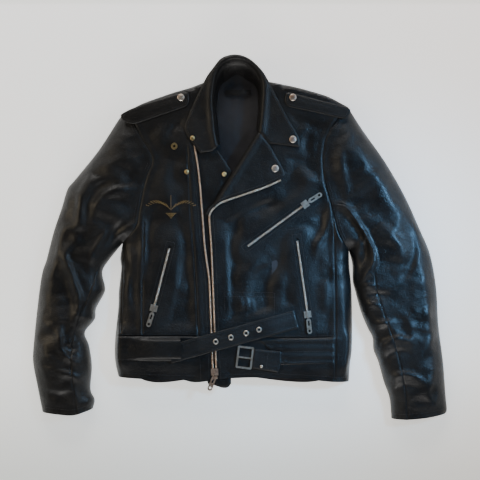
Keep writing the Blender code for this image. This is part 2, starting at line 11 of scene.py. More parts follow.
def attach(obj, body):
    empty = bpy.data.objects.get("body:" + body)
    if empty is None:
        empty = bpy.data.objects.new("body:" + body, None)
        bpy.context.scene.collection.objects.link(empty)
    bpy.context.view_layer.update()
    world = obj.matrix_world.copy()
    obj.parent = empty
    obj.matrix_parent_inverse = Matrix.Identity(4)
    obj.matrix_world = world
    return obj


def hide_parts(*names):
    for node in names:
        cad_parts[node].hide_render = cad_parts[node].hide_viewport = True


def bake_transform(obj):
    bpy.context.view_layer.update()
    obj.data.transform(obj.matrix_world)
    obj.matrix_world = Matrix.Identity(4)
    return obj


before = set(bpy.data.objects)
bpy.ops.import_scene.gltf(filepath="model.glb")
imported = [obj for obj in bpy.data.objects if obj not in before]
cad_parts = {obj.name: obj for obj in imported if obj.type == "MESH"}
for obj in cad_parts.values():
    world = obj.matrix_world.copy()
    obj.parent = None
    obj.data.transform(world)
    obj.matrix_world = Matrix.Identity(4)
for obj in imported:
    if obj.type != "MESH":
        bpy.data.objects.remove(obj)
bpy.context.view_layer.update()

# Lengths in this script are millimetres in the frame of the CAD model, and turn into metres when
# a mesh is made. "Right" and "left" are the wearer's.
MM = 0.001
SKIN = 1.3                # leather thickness
TOP = 41.6                # front of the body, just under the hardware
EDGE_Z = 8.0              # height of the side edges, where front and back meet
STEP = 4.4                # point spacing of the leather meshes
FINE = 3.6                # point spacing along the edges of the smaller pieces


# ------------------------------------------------------------------ plan geometry

def spline(points, step=STEP, closed=False):
    """Smooth line through the points, with evenly spaced samples."""
    control = np.array(points, float)
    count = len(control)
    if closed:
        indices = [(i - 1, i, i + 1, i + 2) for i in range(count)]
    else:
        indices = [(max(i - 1, 0), i, i + 1, min(i + 2, count - 1)) for i in range(count - 1)]
    dense = []
    for a, b, c, d in indices:
        p0, p1, p2, p3 = (control[k % count] for k in (a, b, c, d))
        t = np.linspace(0, 1, 24, endpoint=False)[:, None]
        dense.append(0.5 * (2 * p1 + (p2 - p0) * t + (2 * p0 - 5 * p1 + 4 * p2 - p3) * t ** 2
                            + (3 * p1 - p0 - 3 * p2 + p3) * t ** 3))
    dense = np.vstack(dense + [control[:1] if closed else control[-1:]])
    return resample(dense, step)


def resample(line, step):
    line = np.asarray(line, float)
    run = np.concatenate([[0], np.cumsum(np.linalg.norm(np.diff(line, axis=0), axis=1))])
    count = max(int(round(run[-1] / step)), 1)
    at = np.linspace(0, run[-1], count + 1)
    return np.stack([np.interp(at, run, line[:, k]) for k in range(line.shape[1])], axis=1)


def normals(line):
    """Unit vectors to the right of each point of a line, as it runs."""
    along = np.gradient(np.asarray(line, float), axis=0)[:, :2]
    along /= np.maximum(np.linalg.norm(along, axis=1, keepdims=True), 1e-9)
    return np.stack([along[:, 1], -along[:, 0]], axis=1)


def shift(line, distance):
    return np.asarray(line)[:, :2] + normals(line) * distance


def measure(points, line):
    """Distance from each point to a line, signed distance (positive to its right), share along."""
    points = np.asarray(points, float)
    line = np.asarray(line, float)
    runs = np.concatenate([[0], np.cumsum(np.linalg.norm(np.diff(line, axis=0), axis=1))])
    best = np.full(len(points), 1e9)
    signed = np.zeros(len(points))
    share = np.zeros(len(points))
    for index in range(len(line) - 1):
        a, b = line[index], line[index + 1]
        along = b - a
        length = math.hypot(*along)
        if length < 1e-9:
            continue
        along = along / length
        offset = points - a
        place = np.clip(offset @ along, 0, length)
        gap = offset - place[:, None] * along
        distance = np.hypot(gap[:, 0], gap[:, 1])
        closer = distance < best
        side = offset[:, 0] * along[1] - offset[:, 1] * along[0]
        best[closer] = distance[closer]
        signed[closer] = (np.sign(side) * distance)[closer]
        share[closer] = ((runs[index] + place) / runs[-1])[closer]
    return best, signed, share


def inside(points, outline):
    x, y = points[:, 0], points[:, 1]
    found = np.zeros(len(points), bool)
    for (x0, y0), (x1, y1) in zip(outline, np.roll(outline, -1, axis=0)):
        crosses = (y0 > y) != (y1 > y)
        if y1 != y0:
            found ^= crosses & (x < (x1 - x0) * (y - y0) / (y1 - y0) + x0)
    return found


def closed_ring(outline):
    return np.vstack([outline, outline[:1]])


def join(*lines):
    """An outline from lines that each end where the next one starts."""
    return np.vstack([line[:-1] for line in lines])


def axes_of(start, end):
    """Unit vectors along the line from start to end, and to its right."""
    along = (end - start) / np.linalg.norm(end - start)
    return along, np.array([along[1], -along[0]])


def ease(value, low=0.0, high=1.0):
    t = np.clip((value - low) / (high - low), 0, 1)
    return t * t * (3 - 2 * t)


def noise(x, y, seed):
    """Gradient noise, about -0.7 to 0.7, one feature per unit."""
    angles = np.random.default_rng(seed).random((256, 256)) * 2 * math.pi
    cell_x, cell_y = np.floor(x).astype(int), np.floor(y).astype(int)
    u, v = x - cell_x, y - cell_y
    fade_u, fade_v = u ** 3 * (u * (6 * u - 15) + 10), v ** 3 * (v * (6 * v - 15) + 10)

    def corner(dx, dy):
        turn = angles[(cell_x + dx) % 256, (cell_y + dy) % 256]
        return np.cos(turn) * (u - dx) + np.sin(turn) * (v - dy)

    low = corner(0, 0) * (1 - fade_u) + corner(1, 0) * fade_u
    high = corner(0, 1) * (1 - fade_u) + corner(1, 1) * fade_u
    return low * (1 - fade_v) + high * fade_v


def creases(x, y, seed):
    """Noise with soft rounded crests and narrower valleys, about -1 to 1."""
    bend = noise(x * 0.7, y * 0.7, seed + 7) * 0.9
    first = 1 - np.abs(noise(x + bend, y - bend, seed)) * 3.2
    second = 1 - np.abs(noise(x * 2.1 - bend, y * 2.1 + bend, seed + 1)) * 3.2
    return 0.65 * first + 0.35 * second


# ------------------------------------------------------------------ outlines of the jacket

RIGHT_ARMPIT = (-250, -11)
LEFT_ARMPIT = (230, -27)
RIGHT_SHOULDER = (-245, 265)
LEFT_SHOULDER = (228, 278)
RIGHT_SIDE = spline([RIGHT_ARMPIT, (-255, -42), (-253, -65), (-258, -113), (-259, -147),
                     (-266, -216), (-266, -258), (-259, -293)])
LEFT_SIDE = spline([LEFT_ARMPIT, (231, -60), (234, -90), (236, -122), (237, -190), (236, -237),
                    (232, -270), (230, -303)])
RIGHT_SHOULDER_EDGE = spline([RIGHT_SHOULDER, (-224, 277), (-201, 288), (-144, 308), (-110, 318),
                              (-72, 332)])
LEFT_SHOULDER_EDGE = spline([LEFT_SHOULDER, (209, 288), (178, 303), (114, 321), (58, 332)])
RIGHT_OUTER = spline([RIGHT_SHOULDER, (-258, 252), (-301, 186), (-351, 124), (-367, 104),
                      (-379, 65), (-397, 11), (-411, -44), (-422, -80), (-432, -157), (-440, -241),
                      (-439, -271), (-430, -317), (-420, -368)])
RIGHT_INNER = spline([RIGHT_ARMPIT, (-280, -48), (-293, -72), (-287, -103), (-289, -117),
                      (-306, -149), (-309, -172), (-330, -200), (-321, -228), (-315, -271),
                      (-318, -320), (-309, -342), (-313, -361)])
LEFT_OUTER = spline([LEFT_SHOULDER, (258, 231), (309, 158), (350, 86), (381, 17), (402, -34),
                     (415, -104), (420, -184), (430, -265), (435, -331), (438, -363), (435, -371)])
LEFT_INNER = spline([LEFT_ARMPIT, (237, -55), (238, -90), (243, -111), (255, -155), (269, -189),
                     (280, -211), (282, -237), (292, -262), (304, -305), (316, -339), (320, -382)])
RIGHT_ARMHOLE = spline([RIGHT_SHOULDER, (-226, 247), (-208, 209), (-191, 182), (-186, 158),
                        (-197, 130), (-205, 97), (-213, 56), (-221, 22), RIGHT_ARMPIT])
LEFT_ARMHOLE = spline([LEFT_SHOULDER, (206, 254), (182, 215), (173, 170), (177, 120), (188, 78),
                       (198, 40), (208, 5), LEFT_ARMPIT])
RIGHT_CUFF = spline([(-420, -368), (-388, -371), (-354, -373), (-330, -367), (-313, -361)])
LEFT_CUFF = spline([(435, -371), (395, -378), (355, -382), (320, -382)])
RIGHT_HEM = [(-259, -293), (-209, -296), (-158, -300), (-127, -297), (-98, -303), (-66, -300)]
LEFT_HEM = [(-45, -296), (18, -293), (65, -294), (129, -296), (189, -302), (230, -303)]

ZIP_LOW = np.array([-54.0, -288.0])
ZIP_HIGH = np.array([-61.5, -93.0])
ROLL_LOW = np.array([-67.0, 55.0])
ROLL_HIGH = np.array([35.0, 223.0])
TEETH_OFFSET = 3.6


def zip_at(y, side=0.0):
    share = (y - ZIP_LOW[1]) / (ZIP_HIGH[1] - ZIP_LOW[1])
    return (ZIP_LOW[0] + share * (ZIP_HIGH[0] - ZIP_LOW[0]) + side, y)


CLOSED = (-296, -262, -228, -194, -160, -126, -100)
RIGHT_TEETH = [zip_at(y, -TEETH_OFFSET) for y in CLOSED]
RIGHT_TEETH += [(-66.9, -76), (-75, -17), (-80, 49), (-87, 131), (-97, 197)]
LEFT_TEETH = [zip_at(y, TEETH_OFFSET) for y in CLOSED] + [(-61, -22), (-65, 34), (-65, 48)]
LAPEL_TEETH = [(-65, 47), (-60, 58), (-51, 67), (-41, 74), (-20, 82), (10, 92), (50, 106), (86, 122)]
POCKETS = {
    "chest": ((136, 71), (14, -18)),
    "hand_left": ((141, -160), (119, -4)),
    "hand_right": ((-182, -147), (-149, -20)),
}

def pocket_line(pocket):
    """Both ends of a pocket zip, and the unit vectors along it and to its right."""
    start, end = (np.array(point, float) for point in POCKETS[pocket])
    return start, end, *axes_of(start, end)


# Where each sleeve is cut between its upper and lower pieces: the middle of the cut and the arm's
# direction, in degrees.
ARMS = {
    "right": {"pivot": (-326, 0), "points": 255.0, "cut": 120.0, "elbow": (-383, -190), "forearm": 270.0},
    "left": {"pivot": (310, -21), "points": 285.0, "cut": 120.0, "elbow": (348, -195), "forearm": 279.5},
}


def heading(degrees):
    return np.array([math.cos(math.radians(degrees)), math.sin(math.radians(degrees))])


def split_at(line, point, direction):
    """The two halves of a line on either side of the straight cut through point."""
    ahead = (line - point) @ direction
    index = int(np.argmax(ahead > 0))
    share = -ahead[index - 1] / (ahead[index] - ahead[index - 1])
    cut = line[index - 1] + (line[index] - line[index - 1]) * share
    return np.vstack([line[:index], cut]), np.vstack([cut, line[index:]])


# ------------------------------------------------------------------ folds and seams

# Each fold: its line, height and width. Negative heights are valleys.
FOLDS = {
    "right_sleeve": [
        ([(-311, 28), (-301, 62), (-288, 86), (-262, 99), (-228, 106)], 6.5, 11),
        ([(-325, 40), (-318, 75), (-300, 104), (-270, 122)], -5, 10),
        ([(-344, -5), (-361, -22), (-366, -41), (-353, -82), (-338, -128), (-343, -163),
          (-348, -199)], 8, 10),
        ([(-376, -60), (-367, -100), (-356, -140), (-360, -180)], -5, 13),
        ([(-376, -172), (-378, -205), (-374, -230), (-361, -250), (-341, -259), (-326, -246)], 6.5, 8),
        ([(-340, -215), (-352, -232), (-362, -228)], -5, 9),
        ([(-341, 5), (-336, 56), (-326, 107), (-308, 140)], 5.5, 15),
        ([(-270, -8), (-246, 14), (-220, 32)], 4.5, 8),
        ([(-300, -30), (-275, -2), (-250, 30), (-222, 55)], -4.5, 9),
        ([(-318, -60), (-300, -22), (-276, 20)], 4.5, 9),
        ([(-395, -275), (-370, -283), (-343, -291), (-326, -303)], 4.5, 8),
        ([(-352, -310), (-345, -330), (-342, -352)], 3.5, 7),
        ([(-412, -138), (-422, -174), (-426, -205)], 3.5, 10),
        ([(-300, -66), (-292, -97), (-303, -135), (-322, -165)], 4.5, 10),
        ([(-405, -325), (-380, -330), (-360, -326)], -3, 9),
        ([(-372, 20), (-384, -20), (-396, -70), (-404, -120)], 3.5, 13),
        ([(-318, -218), (-335, -205), (-352, -204)], -4.5, 7),
        ([(-410, -235), (-395, -255), (-372, -265)], 3.0, 9),
    ],
    "left_sleeve": [
        ([(200, 72), (222, 66), (252, 24), (276, -20), (280, -56), (262, -90)], 7.0, 7),
        ([(216, 48), (236, 30), (256, 0), (262, -34), (250, -66)], -6.0, 8),
        ([(264, 10), (247, -28), (240, -56)], 5.0, 6),
        ([(279, -48), (256, -86), (241, -102)], 5.5, 6),
        ([(286, 34), (312, 8), (334, -26), (336, -58)], 6.5, 15),
        ([(356, 30), (362, -10), (356, -52), (336, -84)], -5.0, 13),
        ([(243, -112), (262, -100), (286, -98)], 4.5, 6),
        ([(255, -146), (270, -138), (290, -140)], 4.0, 6),
        ([(262, -124), (285, -118), (312, -122)], -4.0, 7),
        ([(288, -247), (304, -222), (334, -208), (360, -220)], 6.5, 8),
        ([(300, -262), (324, -240), (350, -240)], -4.5, 8),
        ([(304, -306), (330, -287), (356, -286), (382, -301)], 5.5, 8),
        ([(318, -326), (344, -310), (372, -316)], -3.5, 8),
        ([(232, 208), (262, 150), (300, 96), (330, 40)], 3.5, 20),
        ([(206, 196), (212, 150), (222, 104)], 4.0, 11),
        ([(380, -60), (392, -110), (396, -170), (404, -230)], 4.0, 14),
        ([(402, -280), (394, -320), (404, -350)], 3.0, 10),
        ([(276, -186), (306, -176), (340, -180)], 3.5, 9),
    ],
    "body": [
        ([(-203, 38), (-202, 0), (-206, -44), (-214, -100)], 3.5, 9),
        ([(-228, -40), (-236, -90), (-240, -150)], 4.5, 12),
        ([(-238, -60), (-228, -100), (-226, -140)], -3.5, 9),
        ([(-168, 150), (-158, 100), (-150, 40)], 2.5, 18),
        ([(-126, 20), (-118, -40), (-112, -110), (-110, -180)], -3.5, 13),
        ([(-138, 10), (-136, -60), (-146, -130), (-160, -185)], 3.0, 12),
        ([(-212, -20), (-196, 14), (-182, 60)], -3.5, 11),
        ([(118, 150), (146, 120), (176, 106)], 4.5, 16),
        ([(188, 70), (178, 20), (160, -20), (152, -52)], 5.0, 11),
        ([(162, 76), (170, 30), (150, -8)], -4.0, 11),
        ([(206, 44), (214, 6), (216, -40)], 4.0, 8),
        ([(176, -80), (178, -120), (170, -160)], 4.5, 15),
        ([(50, -26), (22, -70), (10, -112), (8, -160)], 4.0, 16),
        ([(90, -20), (64, -70), (52, -120), (56, -170)], -3.5, 16),
        ([(96, -60), (84, -110), (88, -160)], 3.0, 12),
        ([(-30, 20), (-32, -50), (-30, -120), (-28, -180)], 3.5, 11),
        ([(-8, 40), (-10, -20), (-14, -80)], -3.0, 13),
        ([(-10, 110), (30, 76), (80, 70)], -4.0, 13),
        ([(0, -124), (4, -140), (2, -154)], 2.2, 4),
        ([(12, -122), (16, -138), (14, -154)], 2.2, 4),
        ([(24, -126), (27, -140), (25, -152)], 2.0, 4),
        ([(216, -110), (220, -170), (214, -230)], 3.5, 9),
        ([(140, 250), (120, 200), (130, 160)], 3.0, 18),
        ([(-150, 250), (-160, 215), (-150, 180)], 2.5, 16),
    ],
}

# Seams: line, and the side that the extra thickness of the seam lies on (1 right, -1 left).
SEAMS = {
    "body": [
        ([(-203, 30), (-204, -44), (-206, -120), (-206, -200)], 1),
        ([(-247, -40), (-250, -120), (-252, -206)], 1),
        ([(194, 66), (198, -30), (200, -150), (199, -302)], 1),
        ([(-112, 190), (-108, 120), (-104, 40), (-97, -40), (-90, -180), (-88, -206)], -1),
        ([(-262, -207), (-200, -206), (-127, -206), (-80, -208)], 1),
        ([(30, -208), (110, -210), (198, -208)], 1),
    ],
    "right_sleeve": [
        ([(-300, -66), (-318, -118), (-338, -168), (-352, -215), (-356, -268),
          (-350, -320), (-345, -368)], -1),
    ],
    "left_sleeve": [
        ([(206, 72), (226, 64), (256, 20), (279, -22), (281, -60), (287, -110), (305, -169),
          (325, -225), (339, -280), (347, -325), (352, -381)], 1),
    ],
}


def edge_share(points, region):
    """0 at the closed edges of the jacket, rising to 1 well inside."""
    edges = [(RIGHT_SHOULDER_EDGE, 17), (LEFT_SHOULDER_EDGE, 17)]
    if region == "left_sleeve":
        edges += [(LEFT_SIDE[LEFT_SIDE[:, 1] > -34], 40)]
    elif region == "right_sleeve":
        edges += [(RIGHT_SIDE[RIGHT_SIDE[:, 1] > -30], 40)]
    else:
        edges += [(RIGHT_SIDE, 40), (LEFT_SIDE, 38)]
    edges += [(RIGHT_OUTER, 60), (RIGHT_INNER, 46), (LEFT_OUTER, 62), (LEFT_INNER, 46)]
    share = np.ones(len(points))
    for line, width in edges:
        share = np.minimum(share, measure(points, line)[0] / width)
    return share


HARD = []


def keep_flat(line, inner, outer, regions=("body",)):
    """The leather lies at the hardware's height within inner of the line, and is free past outer."""
    HARD.append((resample(line, 6.0), inner, outer, regions))


def hard_share(points, region):
    share = np.zeros(len(points))
    for line, inner, outer, regions in HARD:
        if region in regions:
            distance = measure(points, line)[0]
            share = np.maximum(share, 1 - ease(distance, inner, outer))
    return share


def wrinkles(points, region):
    """Small creases that a worn jacket has everywhere, stronger where the leather bends."""
    x, y = points[:, 0], points[:, 1]
    if region == "body":
        small = creases(x / 70, y / 100, 11) * 1.1 + noise(x / 30, y / 44, 12) * 0.7
        pit = np.minimum(np.hypot(x + 250, y + 11), np.hypot(x - 230, y + 27))
        return small * (0.7 + 1.5 * np.exp(-(pit / 60) ** 2))
    arm = ARMS["right" if region == "right_sleeve" else "left"]
    along = points @ heading(arm["forearm"])
    across = points @ heading(arm["forearm"] + 90)
    elbow = np.abs(along - np.array(arm["elbow"]) @ heading(arm["forearm"]))
    small = creases(across / 96, along / 66, 31 if region == "right_sleeve" else 47)
    fine = creases(across / 44, along / 28, 61 if region == "right_sleeve" else 83)
    strength = 0.7 + 1.2 * np.exp(-(elbow / 60) ** 2)
    return small * 2.0 * strength + fine * 0.55 * strength


SEAM_LINES = {}


def seam_lines(region):
    if region not in SEAM_LINES:
        SEAM_LINES[region] = [(spline(line, 4.0), side) for line, side in SEAMS[region]]
    return SEAM_LINES[region]


def seam_paths(region):
    return [line for line, _ in seam_lines(region)]


def relief(points, region):
    total = np.zeros(len(points))
    for line, height, width in FOLDS[region]:
        distance, signed, share = measure(points, spline(line, 7.0))
        taper = np.clip(np.sin(np.pi * np.clip(share, 0.04, 0.96)), 0, 1) ** 0.6
        skew = 1 + 0.35 * np.tanh(signed / width)
        total += height * taper * np.exp(-(distance / (width * skew)) ** 2)
    return total


def seam_relief(points, region):
    total = np.zeros(len(points))
    for line, side in seam_lines(region) + [(RIGHT_ARMHOLE, -1), (LEFT_ARMHOLE, 1)]:
        distance, signed, _ = measure(points, line)
        step = ease(signed * side, -0.6, 1.2) * (1 - ease(signed * side, 7.0, 13.0))
        total += 1.1 * step * (distance < 14) - 1.3 * np.exp(-(distance / 1.5) ** 2)
    return total


def sleeve_gain(points, region):
    """0 on the body and at the armhole, 1 on the sleeve away from it."""
    if region == "body":
        return np.zeros(len(points))
    line = RIGHT_ARMHOLE if region == "right_sleeve" else LEFT_ARMHOLE
    return ease(measure(points, line)[0], 0, 70)


def surface(points, region, seams=True):
    """Height of the outside of the jacket's upper layer."""
    points = np.asarray(points, float)
    share = edge_share(points, region)
    rounded = (1 - (1 - np.clip(share, 0, 1)) ** 2.3) ** 0.5
    hard = hard_share(points, region)
    gain = sleeve_gain(points, region)
    top = TOP - 3.0 + gain * 7.0
    cuff = np.minimum(measure(points, RIGHT_CUFF)[0], measure(points, LEFT_CUFF)[0])
    top -= 9.0 * (1 - ease(cuff, 0, 90))
    free = ease(share, 0.02, 0.55)
    bumps = relief(points, region) + wrinkles(points, region)
    height = EDGE_Z + (top - EDGE_Z) * rounded + bumps * free
    height = height * (1 - hard * ease(share, 0.0, 0.35)) + TOP * hard * ease(share, 0.0, 0.35)
    if region == "body":
        height = np.minimum(height, TOP + 2.5)
    if seams:
        height += seam_relief(points, region) * ease(share, 0.0, 0.2)
    return np.maximum(height, EDGE_Z)


# ------------------------------------------------------------------ meshes

def plan_mesh(outline, lines=(), step=STEP, rim=True, holes=()):
    """Triangles that fill a flat outline: a hexagonal spread of points, with more of them beside
    the edge and along the given lines."""
    outline = np.asarray(outline, float)
    low, high = outline.min(axis=0), outline.max(axis=0)
    rows = np.arange(low[1], high[1], step * 0.866)
    grid = []
    for index, y in enumerate(rows):
        x = np.arange(low[0] + (index % 2) * step / 2, high[0], step)
        grid.append(np.stack([x, np.full(len(x), y)], axis=1))
    grid = np.vstack(grid)
    closed = closed_ring(outline)
    grid = grid[inside(grid, outline)]
    clear = step * (1.15 if rim else 0.75)
    grid = grid[measure(grid, closed)[0] > clear]
    extra = []
    if rim:
        ring = resample(closed, step * 0.8)
        for distance in (1.3, 3.4):
            for sign in (1, -1):
                extra.append(ring + normals(ring) * distance * sign)
    for line in lines:
        grid = grid[measure(grid, line)[0] > 5.2]
        for distance in (-4.2, -2.4, -1.1, 0.0, 1.1, 2.4, 4.2):
            extra.append(shift(resample(line, FINE), distance))
    if extra:
        extra = np.vstack(extra)
        extra = extra[inside(extra, outline)]
        extra = extra[measure(extra, closed)[0] > 0.9]
        grid = np.vstack([grid, extra])
    for hole in holes:
        grid = grid[~inside(grid, hole)]
        grid = grid[measure(grid, closed_ring(hole))[0] > 1.2]
        ring = resample(closed_ring(hole), 3.0)
        for distance in (-2.0, 2.0):
            beside = ring + normals(ring) * distance
            beside = beside[~inside(beside, hole) & inside(beside, outline)]
            grid = np.vstack([grid, beside])
    loops = [outline, *holes]
    starts = np.cumsum([0] + [len(loop) for loop in loops])
    numbered = [list(range(a, b)) for a, b in zip(starts, starts[1:])]
    points = np.vstack([*loops, grid])
    verts, _, faces, _, _, _ = delaunay_2d_cdt(
        [Vector(point) for point in points], [], numbered, 1, 0.05)
    flat = np.array([(v.x, v.y) for v in verts])
    faces = [list(face) for face in faces]
    if holes:
        middles = np.array([flat[face].mean(axis=0) for face in faces])
        kept = np.ones(len(faces), bool)
        for hole in holes:
            kept &= ~inside(middles, hole)
        faces = [face for face, keep in zip(faces, kept) if keep]
        used = sorted({index for face in faces for index in face})
        place = {old: new for new, old in enumerate(used)}
        flat = flat[used]
        faces = [[place[index] for index in face] for face in faces]
    return flat, faces


def link(name, mesh, shader, body=None, smooth=True):
    piece = bpy.data.objects.new(name, mesh)
    bpy.context.scene.collection.objects.link(piece)
    mesh.materials.clear()
    mesh.materials.append(shader)
    if smooth:
        mesh.shade_smooth()
    if body is not None:
        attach(piece, body)
    return piece


def mesh_from(name, points, faces, up=True):
    """Mesh from points in millimetres, with UVs in decimetres of the plan."""
    mesh = bpy.data.meshes.new(name)
    mesh.from_pydata([tuple(point) for point in np.asarray(points) * MM], [], faces)
    mesh.update()
    if up is not None:
        total = sum(polygon.normal.z * polygon.area for polygon in mesh.polygons)
        if (total > 0) != up:
            mesh.flip_normals()
    layer = mesh.uv_layers.new(name="UVMap")
    flat = np.asarray(points)[:, :2] * 0.01
    index = np.empty(len(mesh.loops), int)
    mesh.loops.foreach_get("vertex_index", index)
    layer.data.foreach_set("uv", flat[index].astype(np.float32).ravel())
    return mesh


def fit(piece, body, slot, *nodes):
    """The piece rides on the body and stands for the CAD nodes, which are hidden. The slot is not used."""
    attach(piece, body)
    if nodes:
        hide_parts(*nodes)


def level_at(height):
    return lambda points: np.full(len(points), height)


def thicken(piece, amount=SKIN, offset=-1.0):
    wall = piece.modifiers.new("thickness", "SOLIDIFY")
    wall.thickness = amount * MM
    wall.offset = offset
    wall.use_rim = True
    bpy.context.view_layer.update()
    depsgraph = bpy.context.evaluated_depsgraph_get()
    thick = bpy.data.meshes.new_from_object(piece.evaluated_get(depsgraph))
    piece.modifiers.clear()
    piece.data = thick
    thick.set_sharp_from_angle(angle=math.radians(55))
    return piece


# How much longer the leather is than the space it lies in, and the furthest it may buckle.
SLACK = {"body": (0.016, 2.6), "right_sleeve": (0.026, 4.0), "left_sleeve": (0.024, 4.0)}
SETTLED = {}


def lies_at(points, region):
    """Height of the leather after the cloth pass, found by dropping rays on it."""
    heights = surface(points, region)
    for index, (x, y) in enumerate(np.asarray(points, float)):
        for tree in SETTLED.get(region, []):
            spot = tree.ray_cast(Vector((x * MM, y * MM, 0.2)), Vector((0, 0, -1)))[0]
            if spot is not None:
                heights[index] = spot.z / MM
                break
    return heights


FRAMES = 16               # length of the cloth pass
STIFFNESS = 12            # against stretching, and half of it against shearing and bending
SMOOTHING_TURNS = 7       # rounds of averaging each point's move with its neighbours'
FLOOR_GAP = 0.004         # metres that the settled leather stays above the floor


def settle(piece, outline, region, holes=()):
    """Cloth pass: the leather is a little longer than the space it lies in, so it buckles.
    Its edges, and the parts under the hardware, are held."""
    mesh = piece.data
    count = len(mesh.vertices)
    start = np.empty(count * 3)
    mesh.vertices.foreach_get("co", start)
    start = start.reshape(-1, 3)
    flat = start[:, :2] / MM
    edge = measure(flat, closed_ring(outline))[0]
    for hole in holes:
        edge = np.minimum(edge, measure(flat, closed_ring(hole))[0])
    seams = [measure(flat, line)[0] for line in seam_paths(region)]
    seam = np.min(seams, axis=0) if seams else np.full(count, 99.0)
    free = ease(edge, 3, 26) * (1 - hard_share(flat, region)) * (0.25 + 0.75 * ease(seam, 2, 12))
    held = piece.vertex_groups.new(name="held")
    for index, share in enumerate(free):
        held.add([index], float(1 - share), "REPLACE")
    cloth_step = piece.modifiers.new("settle", "CLOTH")
    cloth_step.point_cache.frame_start = 1
    cloth_step.point_cache.frame_end = FRAMES
    rules = cloth_step.settings
    rules.vertex_group_mass = "held"
    rules.quality = 4
    rules.mass = 0.4
    rules.tension_stiffness = STIFFNESS
    rules.compression_stiffness = STIFFNESS
    rules.shear_stiffness = STIFFNESS / 2
    rules.bending_stiffness = STIFFNESS / 2
    rules.air_damping = 4
    rules.shrink_min = -SLACK[region][0]
    rules.use_pressure = True
    rules.uniform_pressure_force = 0.4
    rules.effector_weights.gravity = 0.0
    cloth_step.collision_settings.use_collision = False
    scene = bpy.context.scene
    for frame_number in range(1, FRAMES + 1):
        scene.frame_set(frame_number)
    settled = piece.evaluated_get(bpy.context.evaluated_depsgraph_get()).data
    end = np.empty(count * 3)
    settled.vertices.foreach_get("co", end)
    end = end.reshape(-1, 3)
    piece.modifiers.clear()
    piece.vertex_groups.clear()
    scene.frame_set(1)
    move = np.nan_to_num(end - start)
    ends = np.array([edge.vertices[:] for edge in mesh.edges])
    degree = np.bincount(ends.ravel(), minlength=count)[:, None]
    for _ in range(SMOOTHING_TURNS):
        near = np.zeros_like(move)
        np.add.at(near, ends[:, 0], move[ends[:, 1]])
        np.add.at(near, ends[:, 1], move[ends[:, 0]])
        move = 0.5 * move + 0.5 * near / np.maximum(degree, 1)
    move *= free[:, None]
    size = np.linalg.norm(move, axis=1, keepdims=True) + 1e-12
    limit = SLACK[region][1] * MM
    move *= np.tanh(size / limit) * limit / size
    moved = start + move
    moved[:, 2] = np.maximum(moved[:, 2], FLOOR_GAP)
    mesh.vertices.foreach_set("co", moved.ravel())
    mesh.update()


def declare(outline):
    """Takes a panel's outline and turns it into an array; nothing is computed or kept."""
    outline = np.asarray(outline)


def drape(name, outline, region, shader, lines=(), holes=()):
    flat, faces = plan_mesh(outline, lines, holes=holes)
    height = surface(flat, region)
    piece = link(name, mesh_from(name, np.column_stack([flat, height]), faces), shader)
    settle(piece, outline, region, holes)
    tree = BVHTree.FromPolygons([v.co for v in piece.data.vertices], faces)
    SETTLED.setdefault(region, []).append(tree)
    return piece


def panel(name, outline, height, shader, lines=(), thickness=2.4, step=STEP):
    """Leather or cloth cut to an outline, whose top lies at height(points)."""
    flat, faces = plan_mesh(outline, lines, step)
    level = height(flat)
    piece = link(name, mesh_from(name, np.column_stack([flat, level]), faces), shader)
    thicken(piece, thickness)
    declare(outline)
    return piece


def edge_drop(points, outline, width=3.0, depth=1.6):
    """How far a cut edge of leather rounds down, near the edge of an outline."""
    distance = measure(points, closed_ring(outline))[0]
    return depth * (1 - ease(distance, 0, width)) ** 2


def tiles(name, shape, faces, places, shader):
    """One mesh with a copy of a small shape at each place: rows of 3 x 3 axes and an origin."""
    shape = np.asarray(shape, float)
    count = len(shape)
    points = np.vstack([shape @ axes + origin for axes, origin in places])
    every = [[index + count * copy for index in face] for copy in range(len(places)) for face in faces]
    return link(name, mesh_from(name, points, every, up=None), shader)


STITCH = [(-1, 0, 0), (-0.55, 0.5, 0), (0.55, 0.5, 0), (1, 0, 0), (0.55, -0.5, 0), (-0.55, -0.5, 0),
          (-0.5, 0, 1), (0.5, 0, 1), (0, 0, -1)]
STITCH_FACES = [(0, 6, 1), (1, 6, 7, 2), (2, 7, 3), (3, 7, 4), (4, 7, 6, 5), (5, 6, 0),
                (1, 8, 0), (2, 8, 1), (3, 8, 2), (4, 8, 3), (5, 8, 4), (0, 8, 5)]


def stitches(name, rows, height, shader, length=2.7, width=0.8, pitch=3.9, proud=0.35):
    """Rows of thread stitches that lie on a surface."""
    places = []
    for row in rows:
        line = resample(row, pitch)
        middles = (line[1:] + line[:-1]) / 2
        along = np.diff(line, axis=0)
        along /= np.linalg.norm(along, axis=1, keepdims=True)
        ends = [height(middles + along * length / 2 * sign) for sign in (-1, 1)]
        level = (ends[0] + ends[1]) / 2
        rise = (ends[1] - ends[0]) / length
        for middle, ahead, z, slope in zip(middles, along, level, rise):
            axes = np.array([
                (ahead[0] * length / 2, ahead[1] * length / 2, slope * length / 2),
                (-ahead[1] * width, ahead[0] * width, 0),
                (0, 0, proud),
            ])
            places.append((axes, np.array([middle[0], middle[1], z + 0.1])))
    return tiles(name, STITCH, STITCH_FACES, places, shader)


TOOTH = [(-1, -1, 0), (1, -1, 0), (1, 1, 0), (-1, 1, 0), (-1, -1, 0.6), (1, -1, 0.6), (1, 1, 0.6),
         (-1, 1, 0.6), (-0.72, -0.86, 1), (0.72, -0.86, 1), (0.72, 0.86, 1), (-0.72, 0.86, 1)]
TOOTH_FACES = [(3, 2, 1, 0), (0, 1, 5, 4), (1, 2, 6, 5), (2, 3, 7, 6), (3, 0, 4, 7),
               (4, 5, 9, 8), (5, 6, 10, 9), (6, 7, 11, 10), (7, 4, 8, 11), (8, 9, 10, 11)]


